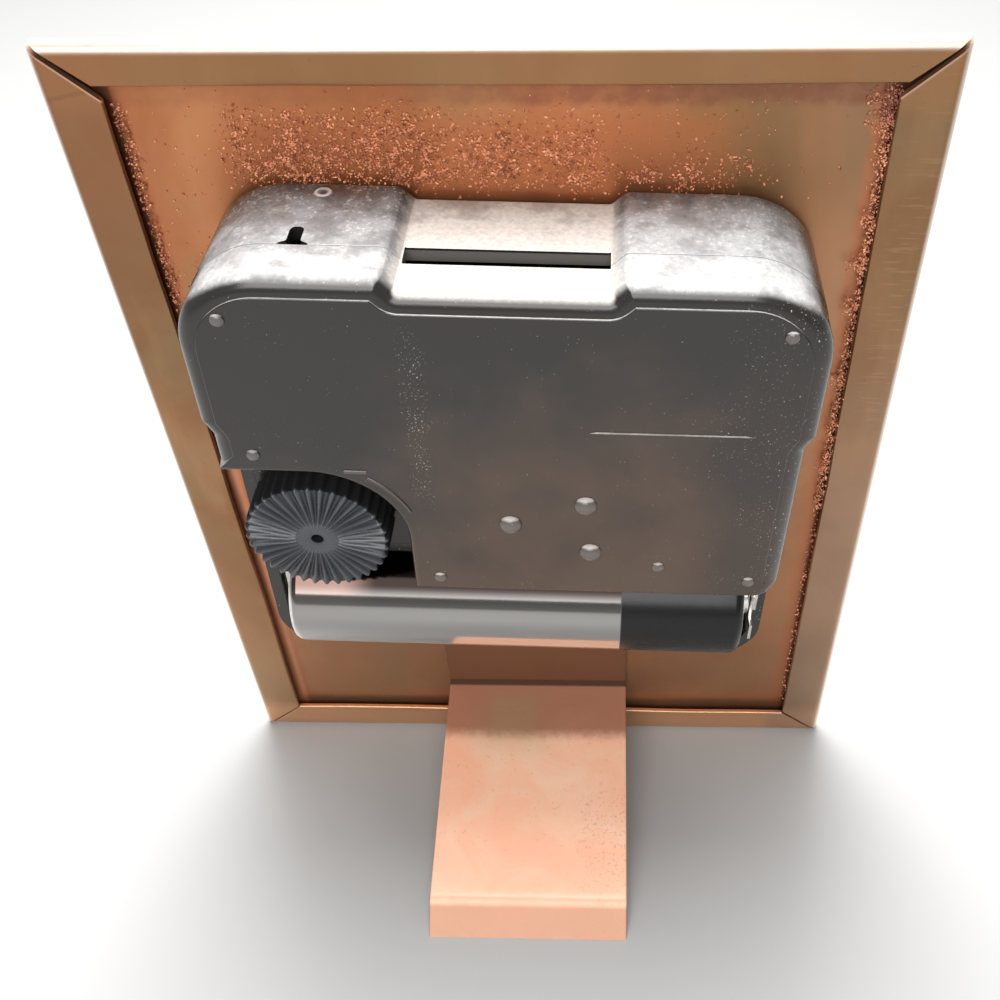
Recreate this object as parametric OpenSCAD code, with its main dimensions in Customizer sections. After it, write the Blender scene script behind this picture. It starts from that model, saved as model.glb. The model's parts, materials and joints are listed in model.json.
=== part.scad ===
// Copper table clock: a folded copper plate on a bent strip leg, with a small quartz movement,
// its gear train, a single cell and three hands. Millimetres, +Z up, dial facing -Y.
// The origin is on the table, under the middle of the clock.

/* [Copper plate] */
// Width of the folded plate
plate_w = 77.2; // [74:0.1:90]
// Height of the folded plate
plate_h = 99.4; // [94:0.1:115]
// Thickness of the copper sheet
sheet = 0.6; // [0.4:0.05:0.8]
// Gap left inside the folded hems
hem_gap = 0.9; // [0.6:0.05:1.2]
// Width of the hems on the two sides
side_hem = 5.2; // [4:0.1:6]
// Width of the hem along the top
top_hem = 3.8; // [3:0.1:5]
// Width of the hem along the bottom
bottom_hem = 4.4; // [3:0.1:6]
// Opening left at the mitres of the top corners
open_mitre = 1; // [0.6:0.1:1.4]
// Saw gap at the mitres of the bottom corners
tight_mitre = 0.15; // [0.1:0.05:0.4]
// Angle that the plate leans back
lean = 4; // [2:0.5:8]
// Height of the hand shaft above the plate's bottom edge
shaft_z = 57.7; // [55:0.1:62]
// Radius of the ring stamped round the dial
dial_r = 33; // [31:0.5:35]
// Height of the stamped marks
stamp_h = 0.35; // [0.2:0.05:0.5]

/* [Leg] */
// Width of the copper strip leg
leg_w = 23.7; // [18:0.1:30]
// Thickness of the leg's strip
leg_sheet = 0.8; // [0.6:0.05:1.2]
// Distance from the plate to the leg's foot
leg_reach = 31; // [26:0.5:40]
// Height of the bend where the leg leaves the plate
leg_root = 9.2; // [7:0.1:12]
// Height of the tab that is soldered to the plate
tab_h = 11; // [6:0.5:14]
// Length of the lip turned down at the leg's end
lip_len = 3.4; // [2:0.1:5]
// Slope of that lip
lip_angle = 45; // [30:1:60]
// Inside radius of the bend at the leg's root
leg_bend_r = 0.6; // [0.4:0.1:1]
// Inside radius of the bend at the lip
lip_bend_r = 1.4; // [0.6:0.1:2]

/* [Movement case] */
// Shaft centre to the top of the case
case_top = 28; // [27.5:0.1:32]
// Shaft centre to the bottom of the case
case_bottom = 26.6; // [26.6:0.1:30]
// Depth of the front case
case_d = 10.1; // [10:0.1:11]
// Depth of the rear cover
cover_d = 5.17; // [5.1:0.01:7]
// Thickness of the case's side walls
wall = 1.3; // [1:0.05:1.5]
// Thickness of the case's front wall
front_wall = 0.9; // [0.8:0.05:1.2]
// Thickness of the rear cover's back
cover_wall = 1.4; // [1.2:0.05:1.6]
// Radius of the upper corners
top_corner_r = 8; // [6:0.5:10]
// Radius of the lower corners
bottom_corner_r = 5; // [4:0.5:6]
// Rounding of the rear cover's back edge
cover_round = 1.8; // [1.5:0.1:2]
// How far the rear cover stands back from the front case all round
cover_step = 0.3; // [0.1:0.05:0.4]
// How much the lower part of the case steps in on each side
jog = 0.8; // [0.4:0.1:1]
// Height of that step above the shaft
jog_z = 10; // [8:0.1:12]
// Width of the hanger recess in the top
notch_w = 17.5; // [15:0.1:20]
// Depth of the hanger recess
notch_d = 1.3; // [1:0.1:1.6]
// How far the hanger slot in that recess cuts into the front case
slot_ahead = 1.8; // [1:0.1:2.2]
// How far it cuts into the rear cover
slot_behind = 0.5; // [0.3:0.1:1]
// Shaft centre down to the rear cover's lower edge
cover_bottom = 10.15; // [10:0.05:10.6]
// Turn of the movement in the plate, as it was tightened
case_turn = -1.8; // [-3:0.1:3]

/* [Battery] */
// Diameter of the cell
cell_d = 14; // [13.5:0.1:14.2]
// Length of the cell without its terminal
cell_len = 48.6; // [44:0.1:54]
// Diameter of the cell's positive terminal
nub_d = 5.4; // [5:0.1:5.5]
// Length of the positive terminal
nub_len = 1.2; // [1:0.05:1.3]
// Thickness of the cell's printed sleeve
sleeve_t = 0.15; // [0.1:0.05:0.2]
// Length of the bare ring at the cell's negative end
bare_ring = 1; // [0.5:0.1:2]
// Thickness of the contact strips
contact_t = 0.3; // [0.2:0.05:0.4]
// Room that the spring contact takes beside the cell
spring_gap = 1.4; // [1.2:0.1:2]

/* [Setting knob] */
// Diameter of the knob over its ribs
knob_d = 14.2; // [12:0.1:15]
// Distance of the knob to the side of the shaft
knob_x = 19.1; // [18.8:0.05:19.2]
// Height of the knob against the shaft
knob_z = -2.9; // [-3.1:0.05:-2.5]
// How far the knob's face stands past the rear cover
knob_proud = 0.25; // [0:0.05:0.6]
// Number of ribs on the knob
knob_ribs = 36; // [24:2:44]
// Radius of the rear cover's cut-out round the knob
cut_r = 9.1; // [8.6:0.1:9.4]
// Radius of the setting shaft
setting_r = 1.2; // [1:0.05:1.4]

/* [Hand shafts] */
// Radius of the threaded bush
bush_r = 4; // [3.8:0.05:4.4]
// How far the bush stands out of the plate
bush_out = 4; // [3.6:0.1:5]
// Outer radius of the hour pipe
hour_pipe_r = 2.5; // [2.3:0.05:2.7]
// Outer radius of the minute pipe
minute_pipe_r = 1.55; // [1.45:0.05:1.65]
// Radius of the seconds arbor
seconds_r = 0.5; // [0.4:0.05:0.6]
// Across-flats size of the hexagon nut
nut_af = 11; // [10.5:0.1:13]
// Radius of the brass washer
washer_r = 7; // [6.8:0.1:9]
// Radius of the rubber washer between case and plate
rubber_r = 9; // [7:0.1:12]
// Thickness of the rubber washer
rubber_t = 0.4; // [0.3:0.05:0.6]

/* [Hands] */
// Length of the hour hand
hour_len = 19; // [15:0.5:22]
// Length of the minute hand
minute_len = 27.5; // [24:0.5:29]
// Length of the second hand
second_len = 28; // [24:0.5:30]
// Width of the hour hand
hour_w = 3; // [2:0.1:3.4]
// Width of the minute hand
minute_w = 2.4; // [1.6:0.1:2.8]
// Width of the second hand
second_w = 0.9; // [0.6:0.1:1.2]
// Thickness of the hands
hand_t = 0.35; // [0.25:0.05:0.5]

/* [Gear train] */
// Idler arbor to the side of the shaft
idler_x = -7.2; // [-7.4:0.05:-7]
// Idler arbor height against the shaft
idler_z = 2.9; // [2.7:0.05:3.1]
// Rotor arbor to the side of the shaft
rotor_x = -7.8; // [-8.2:0.05:-7.8]
// Rotor arbor height against the shaft
rotor_z = -3.7; // [-4:0.05:-3.6]
// Direction of the third wheel's arbor from the shaft
third_angle = 46; // [40:1:52]
// Module of the motion-work and setting teeth
motion_module = 0.4; // [0.398:0.001:0.404]
// Thickness of the wheels' rims
wheel_t = 0.6; // [0.5:0.05:0.7]
// Radius of the train's thin arbors
arbor_r = 0.4; // [0.3:0.05:0.45]
// Radius of the rotor's magnet
magnet_r = 2.7; // [2.4:0.1:3]

/* [Hidden] */
$fn = 48;

// Clearances: a turning fit, a seat that only touches, a free gap, and an overrun for clean cuts
run_fit = 0.06;
seat_fit = 0.02;
free_gap = 0.3;
over = 1;

// Folds of the plate
fold_r = sheet + hem_gap / 2;
hem_back = hem_gap + sheet;
ear_r = 0.9;
ear_in = 0.2;
ear_drop = 0.5;

// Places along the shaft, counted from the plate's back face
y_case = rubber_t;
y_floor = y_case + front_wall;
y_part = y_case + case_d;
y_back = y_part + cover_d;
y_inner = y_back - cover_wall;

// Bush, washer and nut in front of the plate
bush_flange = 0.5;
bush_flange_r = bush_r + 1;
washer_t = 0.5;
nut_t = 2;
y_washer = -sheet - washer_t;
y_nut = y_washer - nut_t;
y_bush = -sheet - bush_out;

// Layers of the wheels, from the front wall backwards
layer_gap = 0.3;
pinion_over = 0.15;
y_hour = y_floor + bush_flange + layer_gap;
y_motion = y_hour + wheel_t + layer_gap + pinion_over;
y_plate = y_motion + wheel_t + layer_gap + 2 * pinion_over;
plate_t = 1;
y_centre = y_plate + plate_t + layer_gap;
y_third = y_centre + wheel_t + layer_gap + pinion_over;
y_seconds = y_third + wheel_t + layer_gap + pinion_over;
y_idler = y_seconds + wheel_t + layer_gap + pinion_over;
y_magnet = y_idler + wheel_t + layer_gap + 2 * pinion_over;
magnet_h = 2.2;
stator_t = 0.7;
y_stator = y_magnet + (magnet_h - stator_t) / 2;
y_core = y_stator - stator_t;

// Hands, from the bush forwards
y_hour_hand = y_bush - layer_gap - hand_t;
boss_h = 1;
y_minute_hand = y_hour_hand - boss_h - layer_gap - hand_t;
y_second_hand = y_minute_hand - boss_h - layer_gap - hand_t;
y_tip = y_second_hand - boss_h;
second_boss_r = 1.2;
tail_len = 8;
hour_tail = 4;
minute_tail = 5;
hand_rim = 0.6;

// Time shown at rest, in degrees clockwise from the top
minute_at = 54;
hour_at = 300 + minute_at / 12;
second_at = 0;

// Tooth counts
z_rotor = 8;
z_idler = 48;
z_idler_pinion = 12;
z_seconds = 60;
z_seconds_pinion = 8;
z_third = 60;
z_third_pinion = 8;
z_centre = 64;
z_minute = 12;
z_motion = 36;
z_motion_pinion = 10;
z_hour = 40;
z_setting = 14;

// Arbor places and the modules that follow from them
shaft_at = [0, 0];
idler_at = [idler_x, idler_z];
rotor_at = [rotor_x, rotor_z];
knob_at = [knob_x, knob_z];
seconds_module = 2 * norm(idler_at) / (z_seconds + z_idler_pinion);
rotor_module = 2 * norm(rotor_at - idler_at) / (z_idler + z_rotor);
third_reach = norm(idler_at);
third_at = third_reach * [cos(third_angle), sin(third_angle)];
centre_module = 2 * third_reach / (z_centre + z_third_pinion);
third_module = 2 * third_reach / (z_third + z_seconds_pinion);
motion_reach = motion_module * (z_motion + z_minute) / 2;
hour_module = 2 * motion_reach / (z_hour + z_motion_pinion);
setting_reach = motion_module * (z_motion + z_setting) / 2;
motion_at = meeting_point(norm(knob_at), motion_reach, setting_reach, aim(shaft_at, knob_at));

// Phases that set every tooth in the middle of the gap it runs in
seconds_phase = 0;
idler_pinion_phase = mesh_phase(seconds_phase, z_seconds, z_idler_pinion, aim(shaft_at, idler_at));
rotor_phase = mesh_phase(idler_pinion_phase, z_idler, z_rotor, aim(idler_at, rotor_at));
third_phase = mesh_phase(seconds_phase, z_seconds_pinion, z_third, aim(shaft_at, third_at));
centre_phase = mesh_phase(third_phase, z_third_pinion, z_centre, aim(third_at, shaft_at));
minute_phase = 0;
motion_phase = mesh_phase(minute_phase, z_minute, z_motion, aim(shaft_at, motion_at));
hour_phase = mesh_phase(motion_phase, z_motion_pinion, z_hour, aim(motion_at, shaft_at));
setting_phase = mesh_phase(motion_phase, z_motion, z_setting, aim(motion_at, knob_at));

// Battery bay
bay_half = (cell_len + nub_len + spring_gap) / 2 + contact_t;
half_w = bay_half + wall + jog;
bay_wall = 1;
bay_top = -cover_bottom - 0.25;
cell_r = cell_d / 2;
cell_z = bay_top - free_gap - cell_r;
cell_y = y_floor + 0.1 + cell_r;
nub_end = contact_t - bay_half;
cell_low = nub_end + nub_len;
cell_high = cell_low + cell_len;
end_plate_r = 5;
end_plate_t = 0.3;

// Contact strips: their width in the bay, their tails and the pads on the board
tail_low = y_floor + 4;
tail_high = tail_low + 1.8;
contact_low = cell_z - 3.5;
contact_high = cell_z + 4.5;
contact_top = y_part + 2;
pad_len = 2.5;
pad_reach = 4;
spring_foot = 3;
spring_back = 0.8;
spring_bend_r = 0.2;

// Circuit board with its posts, crystal and chip
board_low = [1.9 - bay_half, case_top - 14];
board_high = [8, case_top - 4.5];
board_t = 0.8;
y_board = tail_high;
board_posts = [board_low + [1.7, 7.8], board_high - [1.8, 1.7], [-8, board_low[1] + 1.2]];
pad_z = [board_low[1] + 0.2, board_low[1] + 1.8];
crystal_r = 1;
crystal_len = 6;
chip_r = 2.3;
chip_h = 0.9;
chip_at = [-14, board_low[1] + 4.5];
crystal_at = [-2, board_low[1] + 4.5];

// Posts of the middle plate and of the coil
post_r = 1;
post_pin_r = 0.6;
plate_posts = [[-13.6, -8.1], [13.6, -8.1], [-13.6, 11], [13.6, 11]];
plate_margin = 1.1;
coil_x = -20;
coil_low = -7;
coil_high = 11;
coil_post_r = 1.5;
coil_r = 2.4;
bobbin_r = 2.6;
bobbin_core_r = 1.3;
bobbin_flange = 0.8;
bobbin_inset = 2.2;
core_w = 1.6;
stator_ring_r = 4.9;
magnet_gap = 0.5;
pad_r = 1.6;
arm_r = 1.2;

// Setting knob
knob_under = y_part + 0.6;
knob_face = y_back + knob_proud;
knob_socket = 2.5;
rib_h = 0.5;
rib_depth = 0.45;
hub_r = 2;
roof_t = 1;
pivot_r = 0.5;
pivot_boss_r = 1.3;
pivot_boss_h = 0.8;

// Rear cover details: pivot bumps, moulded dots and the bare label panel
bump_r = 1.1;
bump_h = 0.75;
dot_r = 0.65;
dot_h = 0.4;
cover_dots = [[half_w - 4.4, case_top - 4.2], [4.2 - half_w, case_top - 4.4],
    [half_w - 4.6, knob_z + cut_r + 2.2], [knob_x - cut_r - 2.7, 1.95 - cover_bottom],
    [4.2 - half_w, 2.55 - cover_bottom], [-14.6, 4.45 - cover_bottom]];
label_low = [5.6 - half_w, case_top - 15.8];
label_high = [-7, case_top - 6.6];
label_depth = 0.2;
rotor_ring_r = 4;
rotor_ring_h = 0.1;
boss_r = 1.2;
window_x = 17.8;
window_w = 1.2;
window_len = 2.6;
window_foot = 2.6;
window_foot_h = 0.5;
window_corners = [[window_w / 2, -window_len, window_w / 2 - 0.05], [window_w / 2, -window_foot_h, 0.3],
    [window_foot / 2, -0.1, 0.05], [window_foot / 2, 1, 0.05], [-window_foot / 2, 1, 0.05],
    [-window_foot / 2, -0.1, 0.05], [-window_w / 2, -window_foot_h, 0.3],
    [-window_w / 2, -window_len, window_w / 2 - 0.05]];
lower_cover_r = 2.5;

// Where the leaned plate stands: its bottom fold on the table, the whole clock centred front to back
z_stand = fold_r - fold_r * cos(lean) + (fold_r - sheet) * sin(lean);
floor_z = (leg_reach * sin(lean) - z_stand) / cos(lean);
lip_end = [leg_reach, floor_z];
reach_back = leg_reach * cos(lean) + floor_z * sin(lean) + foot_depth();
reach_front = y_tip * cos(lean) + (shaft_z - second_boss_r) * sin(lean);
y_stand = -(reach_back + reach_front) / 2;

// The cut foot is longer than the strip is thick, because the lip slopes
function foot_depth() = leg_sheet / sin(lip_angle + lean);

// Plain geometry in the plane
function aim(a, b) = atan2(b[1] - a[1], b[0] - a[0]);
function unit(v) = v / norm(v);
function left(v) = [-v[1], v[0]];
function polar(r, a) = r * [cos(a), sin(a)];

// Point at distances r1 from the start and r2 from the end of a line of length d in direction a
function meeting_point(d, r1, r2, a) =
    let (along = (r1 * r1 - r2 * r2 + d * d) / (2 * d), aside = sqrt(max(0, r1 * r1 - along * along)))
    along * [cos(a), sin(a)] + aside * [-sin(a), cos(a)];

// Corner b of the outline a-b-c after both its edges move d to their left
function moved_corner(a, b, c, d) =
    let (n1 = left(unit(b - a)), n2 = left(unit(c - b)))
    b + d * (n1 + n2) / (1 + n1 * n2);

// Arc of radius r that rounds the corner b of a-b-c, in n steps
function fillet(a, b, c, r, n) =
    let (u = unit(a - b), w = unit(c - b), half = acos(u * w) / 2,
        centre = b + unit(u + w) * r / sin(half), start = b + u * r / tan(half),
        a0 = aim(centre, start), turn = (180 - 2 * half) * (cross(b - a, c - b) > 0 ? 1 : -1))
    [for (k = [0:n]) centre + polar(r, a0 + turn * k / n)];

// Outline through corners [x, z, radius], counter-clockwise, moved d inwards
function flat(corner) = [corner[0], corner[1]];
function outline(corners, d = 0) =
    let (n = len(corners), p = [for (c = corners) flat(c)],
        q = [for (i = [0:n - 1]) moved_corner(p[(i + n - 1) % n], p[i], p[(i + 1) % n], d)])
    [for (i = [0:n - 1])
        let (bulge = cross(p[i] - p[(i + n - 1) % n], p[(i + 1) % n] - p[i]) > 0 ? 1 : -1,
            r = max(0.05, corners[i][2] - bulge * d))
        each fillet(q[(i + n - 1) % n], q[i], q[(i + 1) % n], r, corners[i][2] > 3 ? 10 : 4)];

// Corners of a bent strip: path is one face, the other lies t to its left, bends are the inside radii
function strip_corners(path, t, bends) =
    let (n = len(path), last = n - 1,
        turns = [for (i = [1:last - 1]) cross(path[i] - path[i - 1], path[i + 1] - path[i]) > 0 ? 1 : -1],
        near = [for (i = [0:last]) let (k = i == 0 || i == last ? 0 : turns[i - 1])
            [path[i][0], path[i][1], k == 0 ? 0.05 : (k > 0 ? bends[i - 1] + t : bends[i - 1])]],
        far = [for (i = [last:-1:0])
            let (k = i == 0 || i == last ? 0 : turns[i - 1],
                s = i == 0 ? path[0] + t * left(unit(path[1] - path[0]))
                    : i == last ? path[last] + t * left(unit(path[last] - path[last - 1]))
                    : moved_corner(path[i - 1], path[i], path[i + 1], t))
            [s[0], s[1], k == 0 ? 0.05 : (k > 0 ? bends[i - 1] : bends[i - 1] + t)]])
    concat(near, far);

// Teeth. A wheel has epicycloid tips over radial flanks, a pinion has radial leaves with round tips.
function tooth_ring(profile, z, phase) =
    [for (i = [0:z - 1]) let (c = phase + 360 / z * i)
        each concat([for (p = profile) polar(p[0], c - p[1])],
            [for (k = [len(profile) - 1:-1:0]) polar(profile[k][0], c + profile[k][1])])];
function tip_angle(h, big, small, half) =
    let (c = ((big + small) * (big + small) + small * small - (big + h) * (big + h)) / (2 * small * (big + small)),
        t = acos(max(-1, min(1, c))))
    half - abs(small / big * t - atan2(small * sin(t), big + small - small * cos(t)));
function wheel_teeth(z, m, mate, phase) =
    let (r = m * z / 2, roll = m * mate / 4, half = 0.88 * 90 / z, tip = 0.95 * m)
    tooth_ring([[r - 1.35 * m, half], [r, half], [r + tip / 2, tip_angle(tip / 2, r, roll, half)],
        [r + tip, tip_angle(tip, r, roll, half)]], z, phase);
function pinion_teeth(z, m, phase) =
    let (r = m * z / 2, half = 0.74 * 90 / z, tip = 0.65 * m)
    tooth_ring([[r - 1.25 * m, half], [r, half], [r + 0.6 * tip, 0.75 * half], [r + tip, 0.35 * half]], z, phase);

// Phase of gear b so that its gap meets a tooth of gear a, which lies in direction d from a to b
function mesh_phase(phase_a, z_a, z_b, d) = d + 180 - (phase_a - d) * z_a / z_b + 180 / z_b;

// Corners of the movement case, seen from the front, counter-clockwise from the lower right
case_corners = [
    [half_w - jog, -case_bottom, bottom_corner_r], [half_w - jog, jog_z, 0.6], [half_w, jog_z + 2 * jog, 0.6],
    [half_w, case_top, top_corner_r], [notch_w / 2 + notch_d, case_top, 1],
    [notch_w / 2, case_top - notch_d, 0.6], [-notch_w / 2, case_top - notch_d, 0.6],
    [-notch_w / 2 - notch_d, case_top, 1], [-half_w, case_top, top_corner_r],
    [-half_w, jog_z + 2 * jog, 0.6], [jog - half_w, jog_z, 0.6], [jog - half_w, -case_bottom, bottom_corner_r]];

// Frames: the leaned plate, with Y from its back face and Z from its bottom edge, and the movement
module leaned() {
    translate([0, y_stand, z_stand]) rotate([-lean, 0, 0]) children();
}
module in_movement() {
    leaned() translate([0, 0, shaft_z]) rotate([0, case_turn, 0]) children();
}

// A flat shape drawn in X and Z, made solid from y0 to y1
module slab(y0, y1) {
    translate([0, y1, 0]) rotate([90, 0, 0]) linear_extrude(y1 - y0) children();
}
module rod(at, r, y0, y1) {
    slab(y0, y1) translate(at) circle(r = r);
}
module block(low, high) {
    translate(low) cube(high - low);
}
// A spherical cap of radius r and height h that stands on the plane y
module cap(at, r, h, y) {
    ball = (r * r + h * h) / (2 * h);
    intersection() {
        translate([at[0], y + h - ball, at[1]]) sphere(r = ball);
        rod(at, 1.2 * r, y - h, y + 2 * h);
    }
}
// A solid through rings of equal count, each [y, outline]
module lofted(rings) {
    n = len(rings[0][1]);
    last = len(rings) - 1;
    polyhedron(
        [for (ring = rings) each [for (p = ring[1]) [p[0], ring[0], p[1]]]],
        concat([[for (k = [n - 1:-1:0]) k]], [[for (k = [0:n - 1]) last * n + k]],
            [for (i = [0:last - 1]) each [for (k = [0:n - 1])
                [i * n + k, i * n + (k + 1) % n, (i + 1) * n + (k + 1) % n, (i + 1) * n + k]]]));
}

// Copper plate
// One folded hem, lying along X, its outer edge on z = 0 and the plate above it
module hem_bar(length, width) {
    translate([-length / 2, 0, 0]) rotate([90, 0, 90]) linear_extrude(length) {
        difference() {
            translate([fold_r - sheet, fold_r]) circle(r = fold_r);
            translate([fold_r - sheet, fold_r]) circle(r = fold_r - sheet);
            translate([-fold_r, fold_r]) square([4 * fold_r, 2 * fold_r]);
        }
        translate([hem_gap, fold_r]) square([sheet, width - fold_r]);
    }
}
// Plan of a mitred hem: half-length at the edge, and what each end loses towards the inside
module mitre_plan(half, run, width) {
    slab(-2 * fold_r, 3 * fold_r)
        polygon([[-half, -over], [half, -over], [half, 0], [half - run, width + 0.01], [run - half, width + 0.01],
            [-half, 0]]);
}
module long_hem(length, width, cut, run) {
    intersection() {
        hem_bar(length, width);
        mitre_plan(length / 2 - cut, run, width);
    }
}
// A side hem, lying along Z at the right, with a tight mitre below and an open one above
module side_hem_bar() {
    intersection() {
        translate([plate_w / 2, 0, plate_h / 2]) rotate([0, -90, 0]) hem_bar(plate_h, side_hem);
        slab(-2 * fold_r, 3 * fold_r) polygon([
            [plate_w / 2 + over, tight_mitre], [plate_w / 2, tight_mitre],
            [plate_w / 2 - side_hem - 0.01, tight_mitre + bottom_hem],
            [plate_w / 2 - side_hem - 0.01, plate_h - 1.2 * open_mitre - top_hem],
            [plate_w / 2, plate_h - 1.2 * open_mitre], [plate_w / 2 + over, plate_h - 1.2 * open_mitre]]);
    }
}
module dial_stamps() {
    translate([0, 0, shaft_z]) {
        slab(-sheet - stamp_h, -sheet + 0.1) difference() {
            circle(r = dial_r + 0.3, $fn = 96);
            circle(r = dial_r - 0.3, $fn = 96);
        }
        for (h = [0:11]) {
            mark_len = h % 3 == 0 ? 5 : 3;
            mark_w = h % 3 == 0 ? 1.6 : 1;
            rotate([0, 30 * h, 0]) block([-mark_w / 2, -sheet - stamp_h, dial_r - 1.5 - mark_len],
                [mark_w / 2, -sheet + 0.1, dial_r - 1.5]);
        }
    }
}
module copper_body() {
    color("peru") leaned() difference() {
        union() {
            block([fold_r - plate_w / 2, -sheet, fold_r], [plate_w / 2 - fold_r, 0, plate_h - fold_r]);
            for (side = [-1, 1]) {
                rod([side * (plate_w / 2 - ear_r - ear_in), plate_h - ear_r - ear_drop], ear_r, -sheet, 0);
            }
            long_hem(plate_w, bottom_hem, tight_mitre, side_hem);
            translate([0, 0, plate_h]) mirror([0, 0, 1]) long_hem(plate_w, top_hem, open_mitre, top_hem);
            side_hem_bar();
            mirror([1, 0, 0]) side_hem_bar();
            dial_stamps();
        }
        rod([0, shaft_z], bush_r + 0.15, -2 * sheet - stamp_h, over);
    }
}

// Leg
module stand_leg() {
    foot_run = over / sin(lip_angle + lean);
    lip_dir = [cos(lip_angle), -sin(lip_angle)];
    path = [[0, leg_root + tab_h], [0, leg_root], lip_end - lip_len * lip_dir, lip_end + foot_run * lip_dir];
    color("peru") difference() {
        leaned() translate([-leg_w / 2, 0, 0]) rotate([90, 0, 90]) linear_extrude(leg_w)
            polygon(outline(strip_corners(path, leg_sheet, [leg_bend_r, lip_bend_r])));
        block([-leg_w, -2 * leg_reach, -4 * over], [leg_w, 2 * leg_reach, 0]);
    }
}
// Fillet of solder along the top edge of the leg's tab
module solder_seam() {
    tab_top = leg_root + tab_h;
    color("silver") leaned() translate([-leg_w / 2, 0, 0]) rotate([90, 0, 90]) linear_extrude(leg_w)
        polygon([[0, tab_top], [0.9 * leg_sheet, tab_top], [0.6 * leg_sheet, tab_top + 0.3 * leg_sheet],
            [0.3 * leg_sheet, tab_top + 0.9 * leg_sheet], [0, tab_top + 1.8 * leg_sheet]]);
}

// Movement case
module front_case() {
    color("#1c1b1b") in_movement() difference() {
        union() {
            difference() {
                slab(y_case, y_part) polygon(outline(case_corners));
                slab(y_floor, y_part + over) polygon(outline(case_corners, wall));
            }
            // wall between the train and the battery bay
            block([-bay_half - wall / 2, y_floor - 0.1, bay_top], [bay_half + wall / 2, y_part, bay_top + bay_wall]);
            // roof under the knob, also carrying the rear cover's cut-out wall
            block([knob_x - cut_r - wall, y_part - roof_t, bay_top + bay_wall / 2],
                [bay_half + wall / 2, y_part, knob_z + cut_r + wall]);
            // cradle ribs under the cell
            for (side = [-1, 1]) {
                block([side * 12 - 0.5, y_floor - 0.1, -case_bottom + wall / 2],
                    [side * 12 + 0.5, cell_y, cell_z - cell_r - 0.1]);
            }
            for (p = plate_posts) {
                rod(p, post_r, y_floor - 0.1, y_plate);
                rod(p, post_pin_r, y_plate - 0.1, y_plate + plate_t);
            }
            for (p = board_posts) {
                rod(p, post_r, y_floor - 0.1, y_board);
                rod(p, post_pin_r, y_board - 0.1, y_board + board_t);
            }
            for (z = [coil_low, coil_high]) {
                rod([coil_x, z], coil_post_r, y_floor - 0.1, y_core);
                rod([coil_x, z], post_pin_r, y_core - 0.1, y_stator + stator_t);
            }
            rod(motion_at, 2 * arbor_r, y_floor - 0.1, y_plate);
            rod(knob_at, pivot_boss_r, y_floor - 0.1, y_floor + pivot_boss_h);
        }
        rod(shaft_at, bush_r + seat_fit, y_case - over, y_floor + over);
        rod(knob_at, pivot_r + run_fit, y_floor - front_wall / 2, y_floor + pivot_boss_h + over);
        rod(knob_at, setting_r + run_fit, y_part - roof_t - over, y_part + over);
        // slots for the contact tails
        for (side = [-1, 1]) {
            block([min(side * (bay_half - contact_t - 0.1), side * bay_half), tail_low - 0.1, bay_top - over],
                [max(side * (bay_half - contact_t - 0.1), side * bay_half), tail_high + 0.1,
                    bay_top + bay_wall + over]);
        }
        // snap window in the top, wider at the parting line
        translate([window_x, y_part, case_top - 2 * wall]) linear_extrude(2 * wall + over)
            polygon(outline(window_corners));
        // hanger slot
        block([-notch_w / 2, y_part - slot_ahead, case_top - notch_d - 2 * wall],
            [notch_w / 2, y_part + over, case_top + over]);
    }
}
// Plan of the rear cover, moved d inwards: cut off above the cell and round the knob. Its far edges lie
// outside the case, and the one beside the rounded corner leans out a little.
cover_corners = [
    [jog - half_w - 0.05, -cover_bottom, lower_cover_r], [knob_x - cut_r, -cover_bottom, 0.3],
    [knob_x - cut_r, knob_z + cut_r, cut_r], [half_w + over, knob_z + cut_r, 0.05],
    [half_w + over, case_top + over, 0.05], [-half_w - over, case_top + over, 0.05]];
module cover_plan(d) {
    polygon(outline(cover_corners, d));
}
// Rings of the cover's rounded back edge. The first and last ring lie outside the cover and are cut off,
// so that its front and back are plain faces.
edge_steps = 6;
edge_turn = 90 / edge_steps;
edge_last = 90 - edge_turn;
function edge_ring(drop, move) = [y_back - drop, outline(case_corners, cover_step + move)];
cover_rings = concat([edge_ring(cover_d + over, 0)],
    [for (k = [0:edge_steps - 1]) edge_ring(cover_round * (1 - sin(edge_turn * k)),
        cover_round * (1 - cos(edge_turn * k)))],
    [edge_ring(cover_round * (sin(edge_last) - 1), cover_round * (1 + cos(edge_last)))]);
module rear_cover() {
    color("#1c1b1b") in_movement() difference() {
        union() {
            difference() {
                intersection() {
                    slab(y_part, y_back) cover_plan(0);
                    lofted(cover_rings);
                }
                intersection() {
                    slab(y_part - over, y_inner) polygon(outline(case_corners, wall));
                    slab(y_part - over, y_inner) cover_plan(wall);
                }
                slab(y_back - label_depth, y_back + over) translate(label_low) square(label_high - label_low);
            }
            for (p = [shaft_at, idler_at, rotor_at]) {
                cap(p, bump_r, bump_h, y_back);
            }
            for (p = cover_dots) {
                cap(p, dot_r, dot_h, y_back);
            }
            // inner boss that carries the third wheel's arbor
            rod(third_at, boss_r, y_inner - 1.5, y_inner + 0.1);
        }
        rod(shaft_at, seconds_r + run_fit, y_inner - over, y_inner + cover_wall / 2);
        for (p = [idler_at, rotor_at]) {
            rod(p, arbor_r + run_fit, y_inner - over, y_inner + cover_wall / 2);
        }
        rod(third_at, arbor_r + run_fit, y_inner - 2 * over, y_inner + cover_wall / 2);
        // hanger slot
        block([-notch_w / 2, y_part - over, case_top - notch_d - 2 * wall],
            [notch_w / 2, y_part + slot_behind, case_top + over]);
    }
}

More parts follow.
